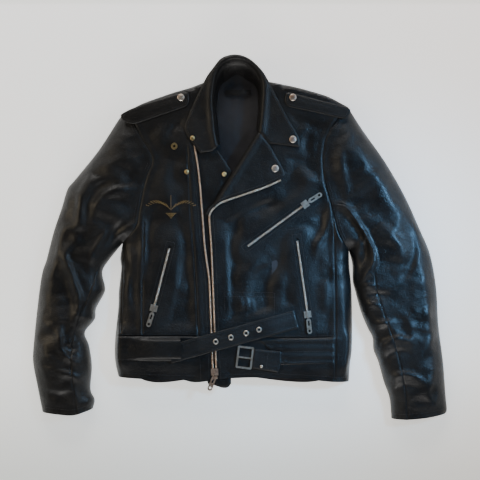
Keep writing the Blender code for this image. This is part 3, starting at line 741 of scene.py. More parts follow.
def teeth(name, rows, shader, low, high, pitch=2.3, reach=2.2):
    """Zip teeth along each row, which is a line and the phase of its teeth."""
    places = []
    for line, phase in rows:
        line = np.asarray(line, float)
        length = np.linalg.norm(np.diff(line, axis=0), axis=1).sum()
        count = int(length / pitch)
        at = resample(line, length / (count * 8))[int(phase * 8)::8][:count]
        along = np.gradient(at, axis=0)
        along /= np.linalg.norm(along, axis=1, keepdims=True)
        for middle, ahead in zip(at, along):
            axes = np.array([
                (ahead[0] * pitch * 0.31, ahead[1] * pitch * 0.31, 0),
                (-ahead[1] * reach, ahead[0] * reach, 0),
                (0, 0, high - low),
            ])
            places.append((axes, np.array([middle[0], middle[1], low])))
    return tiles(name, TOOTH, TOOTH_FACES, places, shader)


# ------------------------------------------------------------------ materials

def new_material(name):
    made = bpy.data.materials.new(name)
    made.use_nodes = True
    tree = made.node_tree
    return made, tree, tree.nodes["Principled BSDF"]


def plug(tree, made, inputs):
    """Give each named input of a node a link or a value."""
    for key, value in inputs.items():
        if isinstance(value, bpy.types.NodeSocket):
            tree.links.new(value, made.inputs[key])
        else:
            made.inputs[key].default_value = value


def node(tree, kind, inputs=None, **settings):
    made = tree.nodes.new(kind)
    for key, value in settings.items():
        setattr(made, key, value)
    plug(tree, made, inputs or {})
    return made


def cloud(tree, where, scale, detail, **more):
    inputs = {"Vector": where, "Scale": scale, "Detail": detail, **more}
    return node(tree, "ShaderNodeTexNoise", inputs).outputs["Fac"]


def bump(tree, height, strength, distance, **more):
    inputs = {"Height": height, "Strength": strength, "Distance": distance, **more}
    return node(tree, "ShaderNodeBump", inputs).outputs["Normal"]


def ramp(tree, factor, low, high, first, second):
    made = tree.nodes.new("ShaderNodeValToRGB")
    made.color_ramp.elements[0].position = low
    made.color_ramp.elements[1].position = high
    made.color_ramp.elements[0].color = (*first, 1)
    made.color_ramp.elements[1].color = (*second, 1)
    tree.links.new(factor, made.inputs["Fac"])
    return made.outputs["Color"]


BLACK = (0.0045, 0.0044, 0.0048)
WORN_BLACK = (0.016, 0.0145, 0.013)


def leather(name, rough=(0.36, 0.56)):
    """Black grained leather: pebbled grain, soft creases, worn and dull patches."""
    made, tree, shader = new_material(name)
    where = node(tree, "ShaderNodeTexCoord").outputs["UV"]
    patches = cloud(tree, where, 1.6, 4.0)
    scuffs = cloud(tree, where, 7.0, 8.0, Roughness=0.65)
    lines = cloud(tree, where, 22.0, 6.0, Distortion=1.2)
    pebbles = node(tree, "ShaderNodeTexVoronoi", {"Vector": where, "Scale": 62.0}, feature="SMOOTH_F1")
    fine = bump(tree, pebbles.outputs["Distance"], 0.35, 0.0006)
    plug(tree, shader, {
        "Base Color": ramp(tree, scuffs, 0.52, 0.82, BLACK, WORN_BLACK),
        "Roughness": ramp(tree, patches, 0.35, 0.68, (rough[0],) * 3, (rough[1],) * 3),
        "Normal": bump(tree, lines, 0.55, 0.0016, Normal=fine),
        "Specular IOR Level": 0.42,
        "Coat Weight": 0.10,
        "Coat Roughness": 0.26,
    })
    return made


def cloth(name, colour, second, scale, rough=0.8, sheen=0.2):
    """Woven lining, tape or thread."""
    made, tree, shader = new_material(name)
    where = node(tree, "ShaderNodeTexCoord").outputs["UV"]
    weave, cross = (
        node(tree, "ShaderNodeTexWave", {"Vector": where, "Scale": scale, "Distortion": 0.4},
             bands_direction=way).outputs["Fac"] for way in "XY")
    both = node(tree, "ShaderNodeMath", {0: weave, 1: cross}, operation="MULTIPLY")
    plug(tree, shader, {
        "Base Color": ramp(tree, cloud(tree, where, 2.5, 5.0), 0.3, 0.75, colour, second),
        "Roughness": rough,
        "Normal": bump(tree, both.outputs["Value"], 0.4, 0.0003),
        "Sheen Weight": sheen,
    })
    return made


def metal(name, bright, worn, rough=(0.22, 0.42), scale=220.0):
    made, tree, shader = new_material(name)
    where = node(tree, "ShaderNodeTexCoord").outputs["Object"]
    scratch = cloud(tree, where, scale * 6, 3.0)
    plug(tree, shader, {
        "Base Color": ramp(tree, cloud(tree, where, scale, 6.0), 0.42, 0.7, bright, worn),
        "Roughness": ramp(tree, scratch, 0.3, 0.7, (rough[0],) * 3, (rough[1],) * 3),
        "Normal": bump(tree, scratch, 0.15, 0.0002),
        "Metallic": 1.0,
    })
    return made


LEATHER = leather("leather_body")
LEATHER_COLLAR = leather("leather_collar", rough=(0.4, 0.6))
LINING = cloth("lining_satin", (0.010, 0.010, 0.013), (0.022, 0.022, 0.030), 160.0, 0.6, 0.3)
TAPE = cloth("zip_tape_weave", (0.012, 0.011, 0.010), (0.030, 0.027, 0.024), 300.0)
NICKEL = metal("nickel", (0.80, 0.77, 0.70), (0.54, 0.46, 0.36), (0.28, 0.46), scale=120.0)
CHAIN = metal("zip_chain", (0.62, 0.59, 0.54), (0.46, 0.38, 0.31), (0.32, 0.5))
BRASS = metal("worn_teeth", (0.88, 0.68, 0.53), (0.52, 0.33, 0.22), (0.3, 0.46))
CAP = metal("worn_cap", (0.80, 0.74, 0.66), (0.56, 0.36, 0.25), (0.3, 0.46), scale=90.0)
GILT = metal("gilt_stud", (0.86, 0.68, 0.34), (0.50, 0.36, 0.16), (0.26, 0.4))
THREAD = cloth("thread_black", (0.010, 0.010, 0.011), (0.020, 0.020, 0.022), 200.0, 0.55, 0.1)
GOLD = cloth("thread_gold", (0.30, 0.19, 0.05), (0.50, 0.33, 0.10), 200.0, 0.45, 0.1)


# ------------------------------------------------------------------ the body and sleeves

def hardware_rests():
    for pocket in POCKETS:
        start, end, along, _ = pocket_line(pocket)
        keep_flat([start - along * 34, end + along * 4], 12, 40)
    keep_flat(RIGHT_TEETH, 14, 42)
    keep_flat(LEFT_TEETH, 12, 40)
    keep_flat([(-255, -232), (-60, -232)], 30, 58)
    keep_flat([(-20, -236), (200, -236)], 34, 62)
    keep_flat([(-120, -236), (117, -170)], 20, 44)
    for x, y in ((-139, 193), (-118, 212), (-113, 139), (-125, 295), (110, 295)):
        keep_flat([(x - 1, y), (x + 1, y)], 10, 30)
    keep_flat([(-70, 200), (-88, 240), (-66, 300), (-60, 335)], 26, 44)
    keep_flat([(90, 205), (72, 250), (52, 310), (48, 335)], 30, 46)
    keep_flat([(-40, 75), (30, 110), (66, 150), (50, 205)], 30, 48)
    keep_flat([(-236, 252), (-120, 288)], 22, 44)
    keep_flat([(218, 262), (104, 290)], 22, 44)


def slot_outline(pocket, half=3.7):
    """The slit in the leather that a pocket's zip shows through."""
    start, end, along, right = pocket_line(pocket)
    side = right * half
    first, last = start - along * 9, end + along * 2
    ring = [first + side, last + side, last + along * 3, last - side, first - side, first - along * 3]
    return resample(closed_ring(ring), FINE)[:-1]


def make_body():
    right_front = join(
        spline(RIGHT_HEM), shift(spline(RIGHT_TEETH), -3.0),
        spline([(-100, 197), (-92, 206), (-70, 210)]),
        spline([(-70, 210), (-62, 260), (-60, 310), (-72, 332)]),
        RIGHT_SHOULDER_EDGE[::-1], RIGHT_ARMHOLE, RIGHT_SIDE,
    )
    left_front = join(
        spline(LEFT_HEM), LEFT_SIDE[::-1], LEFT_ARMHOLE[::-1], LEFT_SHOULDER_EDGE,
        spline([(58, 332), (52, 300), (50, 250), (46, 226)]),
        spline([(46, 226), ROLL_HIGH + (2, -3), ROLL_LOW + (8, -1)]),
        shift(spline(LEFT_TEETH), 3.0)[::-1],
    )
    for side, outline, pockets in (("right", right_front, ("hand_right",)),
                                   ("left", left_front, ("chest", "hand_left"))):
        slots = [slot_outline(pocket) for pocket in pockets]
        piece = drape(f"front_{side}_leather", outline, "body", LEATHER, seam_paths("body"), slots)
        thicken(piece)
        fit(piece, "root", "leather", "front_" + side, "side_panel_" + side, "yoke_" + side)
        declare(outline)


def under_height(points, region):
    """Height of the jacket's lower layer, which lies on the surface."""
    share = edge_share(points, region)
    return 0.6 + (EDGE_Z - 0.6) * (1 - ease(share, 0.0, 0.35)) ** 1.5


def under_sheet(name, outline, region):
    flat, faces = plan_mesh(outline, step=8.0, rim=True)
    height = under_height(flat, region)
    piece = link(name, mesh_from(name, np.column_stack([flat, height]), faces, up=False), LEATHER)
    thicken(piece, 0.5)
    declare(outline)
    return piece


def make_sleeves():
    for side, outer, inner, armhole, cuff in (
        ("right", RIGHT_OUTER, RIGHT_INNER, RIGHT_ARMHOLE, RIGHT_CUFF),
        ("left", LEFT_OUTER, LEFT_INNER, LEFT_ARMHOLE, LEFT_CUFF),
    ):
        arm = ARMS[side]
        region = side + "_sleeve"
        points = heading(arm["points"])
        pivot = np.array(arm["pivot"], float)
        middle = pivot + points * arm["cut"]
        outer_top, outer_low = split_at(outer, middle, points)
        inner_top, inner_low = split_at(inner, middle, points)
        cut = resample([outer_low[0], inner_low[0]], STEP)
        upper = join(outer_top, cut, inner_top[::-1], armhole[::-1])
        lower = join(cut, inner_low, cuff[::-1], outer_low[::-1])
        # The cut between the two pieces runs obliquely, so that the whole armhole stays in the upper piece.
        for part, outline in (("upper", upper), ("lower", lower)):
            top = drape(f"sleeve_{part}_{side}_leather", outline, region, LEATHER,
                        seam_paths(region))
            thicken(top)
            declare(outline)
            below = under_sheet(f"sleeve_{part}_{side}_under", outline, region)
            for piece in (top, below):
                if part == "upper":
                    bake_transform(piece)
                else:
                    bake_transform(piece)
            if part == "upper":
                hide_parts("sleeve_head_" + side, "upper_sleeve_" + side)
            else:
                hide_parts("forearm_" + side)


def make_back():
    outline = join(
        spline(RIGHT_HEM), spline([(-66, -300), (-45, -296)], 21), spline(LEFT_HEM),
        LEFT_SIDE[::-1], LEFT_ARMHOLE[::-1], LEFT_SHOULDER_EDGE,
        spline([(58, 332), (36, 352), (-10, 366), (-50, 352), (-72, 332)]),
        RIGHT_SHOULDER_EDGE[::-1], RIGHT_ARMHOLE, RIGHT_SIDE,
    )
    piece = under_sheet("back_panel_leather", outline, "body")
    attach(piece, "root")
    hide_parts("back_panel")


# Heights of the tops of the pieces, and of the feet and tips of the teeth.
LINING_Z, LOOP_Z, WIND_FLAP_Z = 6.4, 11.5, 35.4
POCKET_TAPE_Z, MAIN_TAPE_Z, LAPEL_TAPE_Z = 38.3, 38.5, 43.8
POCKET_TEETH_Z, MAIN_TEETH_Z, LAPEL_TEETH_Z = (38.2, 40.6), (38.7, 41.8), (43.9, 46.0)
BAND_Z, LAPEL_Z, EPAULETTE_Z, COLLAR_Z = 44.0, 45.2, 45.3, 46.0
BUCKLE_STRAP_Z, BELT_STRAP_Z, CHANNEL_Z = 46.9, 49.7, 52.6
STITCH_INSET = 5.5        # distance of a row of stitches from the edge of the collar


# ------------------------------------------------------------------ zips

def make_zips():
    for name in POCKETS:
        start, end, along, _ = pocket_line(name)
        line = np.array([start - along * 8, end - along * 1])
        rows = [(shift(line, -1.0), 0.0), (shift(line, 1.0), 0.5)]
        chain = teeth(name + "_zip_teeth_fine", rows, CHAIN, *POCKET_TEETH_Z, 2.0, 1.5)
        fit(chain, "root", "nickel", name + "_zip_teeth")
        tape_line = np.array([start - along * 14, end + along * 8])
        outline = np.vstack([shift(tape_line, 9), shift(tape_line, -9)[::-1]])
        outline = resample(closed_ring(outline), 6.0)[:-1]
        tape = panel(name + "_zip_tape", outline, level_at(POCKET_TAPE_Z), TAPE,
                     thickness=0.7)
        fit(tape, "root", "zip_tape")
    right, left = spline(RIGHT_TEETH, 6.0), spline(LEFT_TEETH, 6.0)
    for name, line, side in (("right", right, -1), ("left", left, 1)):
        phase = 0.0 if side < 0 else 0.5
        chain = teeth("main_zip_teeth_" + name, [(line, phase)], BRASS, *MAIN_TEETH_Z, 2.5, 2.0)
        fit(chain, "root", "worn_brass", "zip_teeth_" + name)
        outline = np.vstack([shift(line, 2.4 * -side), shift(line, 13 * side)[::-1]])
        tape = panel("main_zip_tape_" + name, outline, level_at(MAIN_TAPE_Z), TAPE,
                     thickness=0.8)
        fit(tape, "root", "zip_tape", "zip_tape_" + name)


def make_pockets():
    """A cloth bag behind each pocket zip, cut to the outline of the CAD model's bag."""
    for index, pocket in enumerate(POCKETS):
        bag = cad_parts[pocket + "_pocket_bag"]
        corners = np.array([bag.matrix_world @ vertex.co for vertex in bag.data.vertices]) / MM
        outline = corners[convex_hull_2d([Vector(point[:2]) for point in corners])][:, :2]
        outline = resample(closed_ring(outline), 6.0)[:-1]
        middle = (corners[:, 2].max() + corners[:, 2].min()) / 2

        def bag_height(points, middle=middle, index=index):
            return middle + 0.8 + 0.7 * creases(points[:, 0] / 40, points[:, 1] / 55, 201 + index)

        piece = panel(pocket + "_pocket_bag_cloth", outline, bag_height, LINING, thickness=1.6, step=6.0)
        fit(piece, "root", "lining", pocket + "_pocket_bag")


# ------------------------------------------------------------------ wind flap and lining

def make_inside():
    outline = spline([(-100, 197), (-74, 196), (-50, 186), (-26, 152), (-10, 120), (-28, 74), (-33, 20),
                      (-30, -22), (-26, -150), (-20, -290), (-21, -306), (-26, -314), (-38, -315),
                      (-56, -309), (-70, -300), (-76, -200), (-80, -93), (-90, -17), (-98, 49),
                      (-106, 131)], closed=True)[:-1]

    def flap_height(points):
        x, y = points[:, 0], points[:, 1]
        soft = 0.9 * creases(x / 40, y / 70, 71) * ease(y, 50, 90)
        return WIND_FLAP_Z + soft - edge_drop(points, outline)

    piece = panel("wind_flap_leather", outline, flap_height, LEATHER, thickness=1.8)
    fit(piece, "root", "leather", "wind_flap")
    lining = spline([(-226, -286), (-30, -290), (198, -286), (203, -40), (174, -10), (170, 240), (110, 286),
                     (62, 316), (34, 346), (-8, 355), (-50, 346), (-74, 316), (-120, 292), (-188, 250),
                     (-190, -5), (-222, -30)],
                    9.0, closed=True)[:-1]

    def lining_height(points):
        x, y = points[:, 0], points[:, 1]
        folds = 2.2 * creases(x / 46, y / 120, 91) + 1.0 * creases(x / 20, y / 60, 95)
        return LINING_Z + folds * ease(edge_share(points, "body"), 0.2, 0.9)

    piece = panel("lining_back_satin", lining, lining_height, LINING, thickness=0.8, step=7.0)
    fit(piece, "root", "lining", "back_lining")
    loop = resample([(-32, 303), (22, 303), (22, 314), (-32, 314), (-32, 303)], 4.0)[:-1]

    def loop_height(points):
        return LOOP_Z + 2.5 * np.sin(np.pi * np.clip((points[:, 0] + 32) / 54, 0, 1))

    piece = panel("hanger_loop_leather", loop, loop_height, LEATHER_COLLAR, thickness=1.4)
    fit(piece, "root", "leather", "hanger_loop")


# ------------------------------------------------------------------ collar, lapel, epaulettes

ROLL = [(-44, 196), (-50, 225), (-52, 250), (-55, 284), (-52, 325), (-44, 352), (-30, 366), (-11, 372),
        (12, 367), (30, 352), (42, 326), (42, 290), (39, 250), (36, 226)]
COLLAR_OUTER = [(-85, 179), (-103, 202), (-117, 227), (-112, 251), (-95, 290), (-73, 335), (-56, 359),
                (-39, 378), (-12, 385), (15, 378), (40, 357), (58, 331), (95, 260), (122, 212), (124, 191)]


def nearest(line, x, y):
    return int(np.argmin(np.hypot(line[:, 0] - x, line[:, 1] - y)))


def strips(line, parts):
    """Open loft: for each point of a line, a column of points made by parts(index)."""
    rows = [parts(index) for index in range(len(line))]
    across = len(rows[0])
    points = [point for row in rows for point in row]
    faces = [(i * across + j, i * across + j + 1, (i + 1) * across + j + 1, (i + 1) * across + j)
             for i in range(len(rows) - 1) for j in range(across - 1)]
    return points, faces


def make_collar():
    roll = spline(ROLL, FINE)
    outer = spline(COLLAR_OUTER, FINE)
    middle = nearest(roll, -11, 372)
    top = nearest(outer, -12, 385)
    seam = resample([outer[top], roll[middle]], FINE)
    right_tip = resample([roll[0], (-60, 182), outer[0]], FINE)
    left_tip = resample([roll[-1], (59, 199), (90, 195), outer[-1]], FINE)
    right = join(outer[:top + 1], seam, roll[:middle + 1][::-1], right_tip)
    left = join(outer[top:][::-1], seam, roll[middle:], left_tip)
    whole = join(outer, resample([outer[-1], (59, 199), roll[-1]], FINE), roll[::-1], right_tip)

    def collar_height(points):
        inner = measure(points, roll)[0]
        x, y = points[:, 0], points[:, 1]
        soft = 1.0 * creases(x / 46, y / 80, 131) * ease(inner, 8, 26)
        crest = 4.2 * np.exp(-((inner - 8) / 8) ** 2)
        into = 5.0 * (1 - ease(inner, 0, 6)) ** 1.5
        return COLLAR_Z + crest - into + soft - edge_drop(points, whole, 4.0, 1.8) * (inner > 6)

    for side, outline, at, end in (("right", right, -46, -62), ("left", left, 40, 56)):
        line = shift(outer, STITCH_INSET)
        line = line[inside(line, outline)]
        piece = panel(f"collar_{side}_leather", outline, collar_height, LEATHER_COLLAR,
                      thickness=2.6, step=3.8)
        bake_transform(piece)
        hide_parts("collar_wing_" + side)
        thread = stitches(f"collar_{side}_stitches", [line[:-1]], collar_height, THREAD)
        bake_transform(thread)

    # The inside of the collar, from the roll down to the lining.
    def inner_wall(index):
        x, y = roll[index]
        back = ease(np.array(y), 300, 372)
        toward = np.array([-4.0, 300.0]) - (x, y)
        toward /= np.linalg.norm(toward)
        column = []
        for step in np.linspace(0, 1, 10):
            reach = (5 + 22 * back) * step ** 0.8
            z = 42.0 - 34.0 * step ** 1.2
            wave = 1.2 * math.sin(index * 0.35 + step * 4) * step
            column.append((x + toward[0] * (reach + wave) + 0.2, y + toward[1] * (reach + wave), z))
        return column

    points, faces = strips(roll, inner_wall)
    mesh = mesh_from("collar_inside_leather", points, faces, up=True)
    wall = link("collar_inside_leather", mesh, LEATHER_COLLAR)
    thicken(wall, 1.4)
    fit(wall, "root", "leather", "collar_stand")
    # The outside of the collar behind the neck, down to the surface.
    first = nearest(outer, -73, 335)
    last = nearest(outer, 58, 331)
    back_line = outer[first:last + 1]
    turn = normals(back_line)

    def outer_wall(index):
        column = []
        for step in np.linspace(0, 1, 10):
            bulge = 1.5 * math.sin(math.pi * step) - 5.0 * step + 0.8 * math.sin(index * 0.4) * step
            point = back_line[index] - turn[index] * (bulge - 0.8)
            column.append((point[0], point[1], 43.6 - 42.6 * step))
        return column

    points, faces = strips(back_line, outer_wall)
    mesh = mesh_from("collar_back_leather", points, faces, up=None)
    wall = link("collar_back_leather", mesh, LEATHER_COLLAR)
    thicken(wall, 1.4, 0.0)
    fit(wall, "root", "leather", "collar_fall")


def make_lapel():
    _, roll_out = axes_of(ROLL_LOW, ROLL_HIGH)
    edge = spline(LAPEL_TEETH, FINE)
    inner = shift(edge, -2.6)
    outline = join(
        inner, spline([(86, 125), (93, 136), (80, 162), (60, 197)], FINE),
        spline([(60, 197), (46, 214), ROLL_HIGH], FINE),
        resample([ROLL_HIGH, ROLL_LOW], FINE), resample([ROLL_LOW, inner[0]], FINE),
    )

    def lapel_height(points):
        roll = (points - ROLL_LOW) @ roll_out
        x, y = points[:, 0], points[:, 1]
        soft = 0.9 * creases(x / 50, y / 50, 151) * ease(roll, 8, 30)
        crest = 3.6 * np.exp(-((roll - 8) / 8) ** 2)
        into = 4.5 * (1 - ease(roll, 0, 6)) ** 1.5
        return LAPEL_Z + crest - into + soft - edge_drop(points, outline, 4.0, 1.4) * (roll > 6)

    piece = panel("lapel_leather", outline, lapel_height, LEATHER_COLLAR, thickness=2.4, step=3.8)
    rows = [shift(edge, -7.5), spline([(82, 133), (87, 138), (75, 160), (57, 191)], FINE)]
    thread = stitches("lapel_stitches", rows, lapel_height, THREAD)
    rows = [(spline(LAPEL_TEETH, 5.0), 0.0)]
    chain = teeth("lapel_zip_teeth", rows, NICKEL, *LAPEL_TEETH_Z, 2.3, 1.9)
    outline = np.vstack([shift(edge, -7), shift(edge, 2.2)[::-1]])
    tape = panel("lapel_zip_tape", outline, level_at(LAPEL_TAPE_Z), TAPE, thickness=0.8)
    for part in (piece, thread, chain, tape):
        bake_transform(part)
    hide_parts("lapel_left")
    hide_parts("zip_teeth_lapel")


def make_epaulettes():
    straps = (
        ("right", [(-247, 262), (-251, 254), (-243, 246), (-222, 240), (-170, 257), (-118, 275),
                   (-109, 284), (-108, 297), (-116, 306), (-168, 292), (-215, 277)],
         (-250, 260), (0.96, 0.27)),
        ("left", [(224, 274), (230, 264), (227, 258), (216, 251), (160, 263), (104, 275), (96, 281),
                  (93, 291), (95, 300), (104, 305), (160, 291)], (227, 258), (-0.97, 0.24)),
    )
    for side, corners, root, towards in straps:
        outline = spline(corners, 3.6, closed=True)[:-1]
        closed = closed_ring(outline)

        def strap_height(points, closed=closed, outline=outline):
            distance = measure(points, closed)[0]
            return EPAULETTE_Z + 0.5 * ease(distance, 6, 14) - edge_drop(points, outline, 3.4, 1.6)

        inner = shift(closed, 5.0)
        if not inside(inner[:1], outline)[0]:
            inner = shift(closed, -5.0)
        piece = panel(f"epaulette_{side}_leather", outline, strap_height, LEATHER_COLLAR, [inner],
                      2.6, 3.8)
        thread = stitches(f"epaulette_{side}_stitches", [inner], strap_height, THREAD)
        for part in (piece, thread):
            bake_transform(part)
        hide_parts("epaulette_" + side)


# ------------------------------------------------------------------ belt

BELT_ROOT = np.array([-124.0, -236.8])
BELT_TIP = np.array([117.0, -170.0])
BELT_HALF = 19.0          # half the belt strap's width


def make_belt():
    along, right = axes_of(BELT_ROOT, BELT_TIP)
    centre = spline([BELT_ROOT - along * 26, BELT_ROOT, BELT_ROOT + along * 125, BELT_TIP], FINE)
    near, far = shift(centre, BELT_HALF), shift(centre, -BELT_HALF)
    outline = np.vstack([near, resample([near[-1], far[-1]], FINE)[1:-1], far[::-1]])

    def strap_height(points):
        share = (points - BELT_ROOT) @ along
        sag = 3.0 * ease(share, 190, 250)
        side = (points - BELT_ROOT) @ right
        ridge = 0.5 * np.cos(np.clip(side / BELT_HALF, -1, 1) * math.pi * 1.5)
        return BELT_STRAP_Z + ridge - sag - edge_drop(points, outline, 2.6, 1.2)

    piece = panel("belt_strap_leather", outline, strap_height, LEATHER_COLLAR, thickness=2.6, step=3.8)
    rows = [shift(centre, side * (BELT_HALF - 4))[8:-1] for side in (1, -1)]
    thread = stitches("belt_strap_stitches", rows, strap_height, THREAD)
    for part in (piece, thread):
        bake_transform(part)
    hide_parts("belt_strap")

    sides = ([(-260, -208), (-190, -207), (-128, -206)], [(-128, -206), (-122, -232), (-126, -259)],
             [(-126, -259), (-190, -258), (-264, -257)], [(-264, -257), (-265, -232), (-260, -208)])
    channel = join(*(spline(side, FINE) for side in sides))

    def channel_height(points):
        x, y = points[:, 0], points[:, 1]
        level = lies_at(points, "body") + 1.6
        rise = ease(x, -252, -168) * (1 - ease(np.abs(y + 233), 17.5, 25))
        soft = 0.9 * creases(x / 30, y / 22, 171) * (1 - rise)
        return level + (CHANNEL_Z - level) * rise + soft * ease(edge_share(points, "body"), 0.1, 0.5)

    piece = panel("belt_channel_leather", channel, channel_height, LEATHER, thickness=1.3, step=3.8)
    fit(piece, "root", "leather", "belt_channel")
    rows = [spline([(-256, -211), (-190, -210), (-131, -209)]),
            spline([(-258, -254), (-190, -255), (-131, -256)])]
    thread = stitches("belt_channel_stitches", rows, channel_height, THREAD)
    fit(thread, "root", "leather")

    sides = ([(40, -214), (196, -211)], [(196, -211), (196, -263)], [(196, -263), (66, -266)],
             [(66, -266), (60, -234), (40, -214)])
    band = join(*(resample(side, FINE) for side in sides))

    def band_height(points):
        y = points[:, 1]
        ridges = 0.6 * np.cos((y + 214) / 50 * 6 * math.pi)
        return BAND_Z + ridges - edge_drop(points, band, 2.4, 0.9)

    piece = panel("belt_band_leather", band, band_height, LEATHER, thickness=1.6, step=3.8)
    fit(piece, "root", "leather", "belt_band")
    turn = math.radians(-7.0)
    ahead = np.array([math.cos(turn), math.sin(turn)])
    aside = np.array([-ahead[1], ahead[0]])
    bar = np.array([9.0, -250.5]) + ahead * 17.4

    def strap_point(u, v):
        return tuple(bar + ahead * u + aside * v)

    corners = [strap_point(0, -20), strap_point(30, -21), strap_point(56, -22), strap_point(60, 0),
               strap_point(56, 22), strap_point(30, 21), strap_point(0, 20)]
    loop = resample([*corners, corners[0]], FINE)[:-1]

    def buckle_strap_height(points):
        u = (points - bar) @ ahead
        return BUCKLE_STRAP_Z - 0.8 * ease(u, 20, 56) - edge_drop(points, loop, 2.4, 1.0)

    piece = panel("buckle_strap_leather", loop, buckle_strap_height, LEATHER_COLLAR,
                  thickness=2.2, step=3.4)
    fit(piece, "root", "leather", "buckle_strap")
    rows = [[strap_point(3, -17), strap_point(52, -18)], [strap_point(3, 17), strap_point(52, 18)],
            [strap_point(30, -17), strap_point(30, 17)]]
    thread = stitches("buckle_strap_stitches", rows, buckle_strap_height, THREAD)
    rows = [[(66, -218), (192, -215)], [(70, -260), (192, -258)], [(70, -239), (192, -237)]]
    more = stitches("belt_band_stitches", rows, band_height, THREAD)
    for part in (thread, more):
        fit(part, "root", "leather")


# ------------------------------------------------------------------ thread on the body and sleeves

def pocket_frame(pocket, before, after, side):
    start, end, along, right = pocket_line(pocket)
    across = right * side
    ring = [start - along * before + across, end + along * after + across,
            end + along * after - across, start - along * before - across]
    return np.array([*ring, ring[0]])


def body_level(points):
    return lies_at(points, "body")


def make_stitches():
    right_edge, left_edge = spline(RIGHT_TEETH), spline(LEFT_TEETH)
    rows = [
        shift(right_edge, -8.5), shift(right_edge, -26)[:60], shift(left_edge, 8.5),
        shift(RIGHT_ARMHOLE, 3.4)[6:-4], shift(LEFT_ARMHOLE, -3.4)[6:-4],
        shift(RIGHT_ARMHOLE, 8.6)[8:-6], shift(LEFT_ARMHOLE, -8.6)[8:-6],
        pocket_frame("hand_right", 34, 12, 9), pocket_frame("hand_left", 34, 12, 9),
        pocket_frame("chest", 12, 10, 8.5), pocket_frame("hand_left", 12, 24, 30)[1:3],
        [(-33, -113), (72, -115), (70, -172), (64, -178), (-26, -176), (-33, -168), (-33, -113)],
        [(-33, -122), (72, -124)],
        spline([(194, 60), (197, -30), (196, -150), (195, -206)]),
        spline([(203, -60), (205, -150), (204, -206)]),
        spline([(-88, -290), (-180, -287), (-254, -284)]),
        spline([(-32, -287), (80, -285), (222, -294)]),
        spline([(-86, -204), (-127, -202), (-200, -202), (-258, -203)]),
        spline([(30, -204), (110, -206), (196, -205)]),
        spline([(-207, 26), (-208, -44), (-210, -120), (-210, -200)]),
    ]
    rows = [np.asarray(row, float) for row in rows]
    thread = stitches("body_stitches", rows, body_level, THREAD)
    fit(thread, "root", "leather")
    for side, region, row in (
        ("right", "right_sleeve", spline([(-419, -356), (-388, -359), (-354, -361), (-317, -351)])),
        ("left", "left_sleeve", spline([(434, -359), (395, -366), (355, -370), (322, -371)])),
    ):
        def cuff_level(points, region=region):
            return lies_at(points, region)

        thread = stitches(f"cuff_{side}_stitches", [row], cuff_level, THREAD)
        fit(thread, "forearm_" + side, "leather")


def make_motif():
    """A stitched golden spray on the chest: curved stems with slanting satin strokes."""
    rows = []
    for side in (-1, 1):
        for step in range(9):
            reach = 6 + step * 5.4
            lift = 10 * math.sin(step * 0.36)
            base = np.array([-146 + side * reach, 66 + lift])
            lean = math.radians(90 - side * (38 + 4 * step))
            size = 8.5 - 0.55 * step
            ahead = np.array([math.cos(lean), math.sin(lean)])
            rows.append([base, base + ahead * size])
            rows.append([base, base - ahead * size * 0.8])
    for step in range(5):
        width = 11 - 2.4 * step
        rows.append([(-146 - width, 52 - step * 2.4), (-146 + width, 52 - step * 2.4)])
    rows.append([(-146, 58), (-146, 90)])
    rows = [np.asarray(row, float) for row in rows]
    motif = stitches("chest_motif", rows, body_level, GOLD, length=3.4, width=1.0, pitch=3.2, proud=0.6)
    fit(motif, "root", "worn_brass")


# ------------------------------------------------------------------ hardware

METAL_WORDS = ("slider", "pull", "snap", "stud", "eyelet", "buckle_frame", "buckle_prong", "rivet")


def make_hardware():
    """Finer edges and worn plating on the metal pieces of the CAD model."""
    for name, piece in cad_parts.items():
        if not any(word in name for word in METAL_WORDS):
            continue
        look = NICKEL
        if name in ("stud_collar_right", "stud_chest", "snap_socket_chest"):
            look = GILT
        elif name.startswith("snap_cap"):
            look = CAP
        elif name.startswith("zip_"):
            look = BRASS
        piece.data.materials.clear()
        piece.data.materials.append(look)
        soften = piece.modifiers.new("soft_edges", "BEVEL")
        soften.width = 0.45 * MM
        soften.segments = 2
        soften.limit_method = "ANGLE"
        soften.angle_limit = math.radians(40)
        smooth = piece.modifiers.new("normals", "WEIGHTED_NORMAL")
        smooth.keep_sharp = False
    stud = link("stud_wind_flap", dome(5.0, 2.4), GILT)
    stud.location = (-34 * MM, 134.6 * MM, 35.0 * MM)
    fit(stud, "root", "worn_brass")


def dome(radius, height, turns=24):
    """Press-stud cap: a low dome with a rolled rim and a small dimple."""
    profile = [(0.0, height * 0.80), (0.18, height * 0.84), (0.30, height), (0.62, height * 0.92),
               (0.84, height * 0.62), (0.90, height * 0.5), (1.0, height * 0.42), (1.02, height * 0.15),
               (0.98, 0.0)]
    points, faces = [], []
    for ring, (r, z) in enumerate(profile):
        for turn in range(turns):
            angle = 2 * math.pi * turn / turns
            reach = radius * max(r, 0.02)
            points.append((reach * math.cos(angle), reach * math.sin(angle), z))
    for ring in range(len(profile) - 1):
        for turn in range(turns):
            after = (turn + 1) % turns
            here, above = ring * turns, (ring + 1) * turns
            faces.append((here + turn, here + after, above + after, above + turn))
    faces.append(tuple(range(turns)))
    faces.append(tuple((len(profile) - 1) * turns + turn for turn in reversed(range(turns))))
    mesh = mesh_from("dome", points, [face[::-1] for face in faces[:-2]] + [faces[-2], faces[-1]], up=None)
    shape = bmesh.new()
    shape.from_mesh(mesh)
    bmesh.ops.recalc_face_normals(shape, faces=shape.faces)
    shape.to_mesh(mesh)
    shape.free()
    return mesh


# ------------------------------------------------------------------ floor, lights and camera

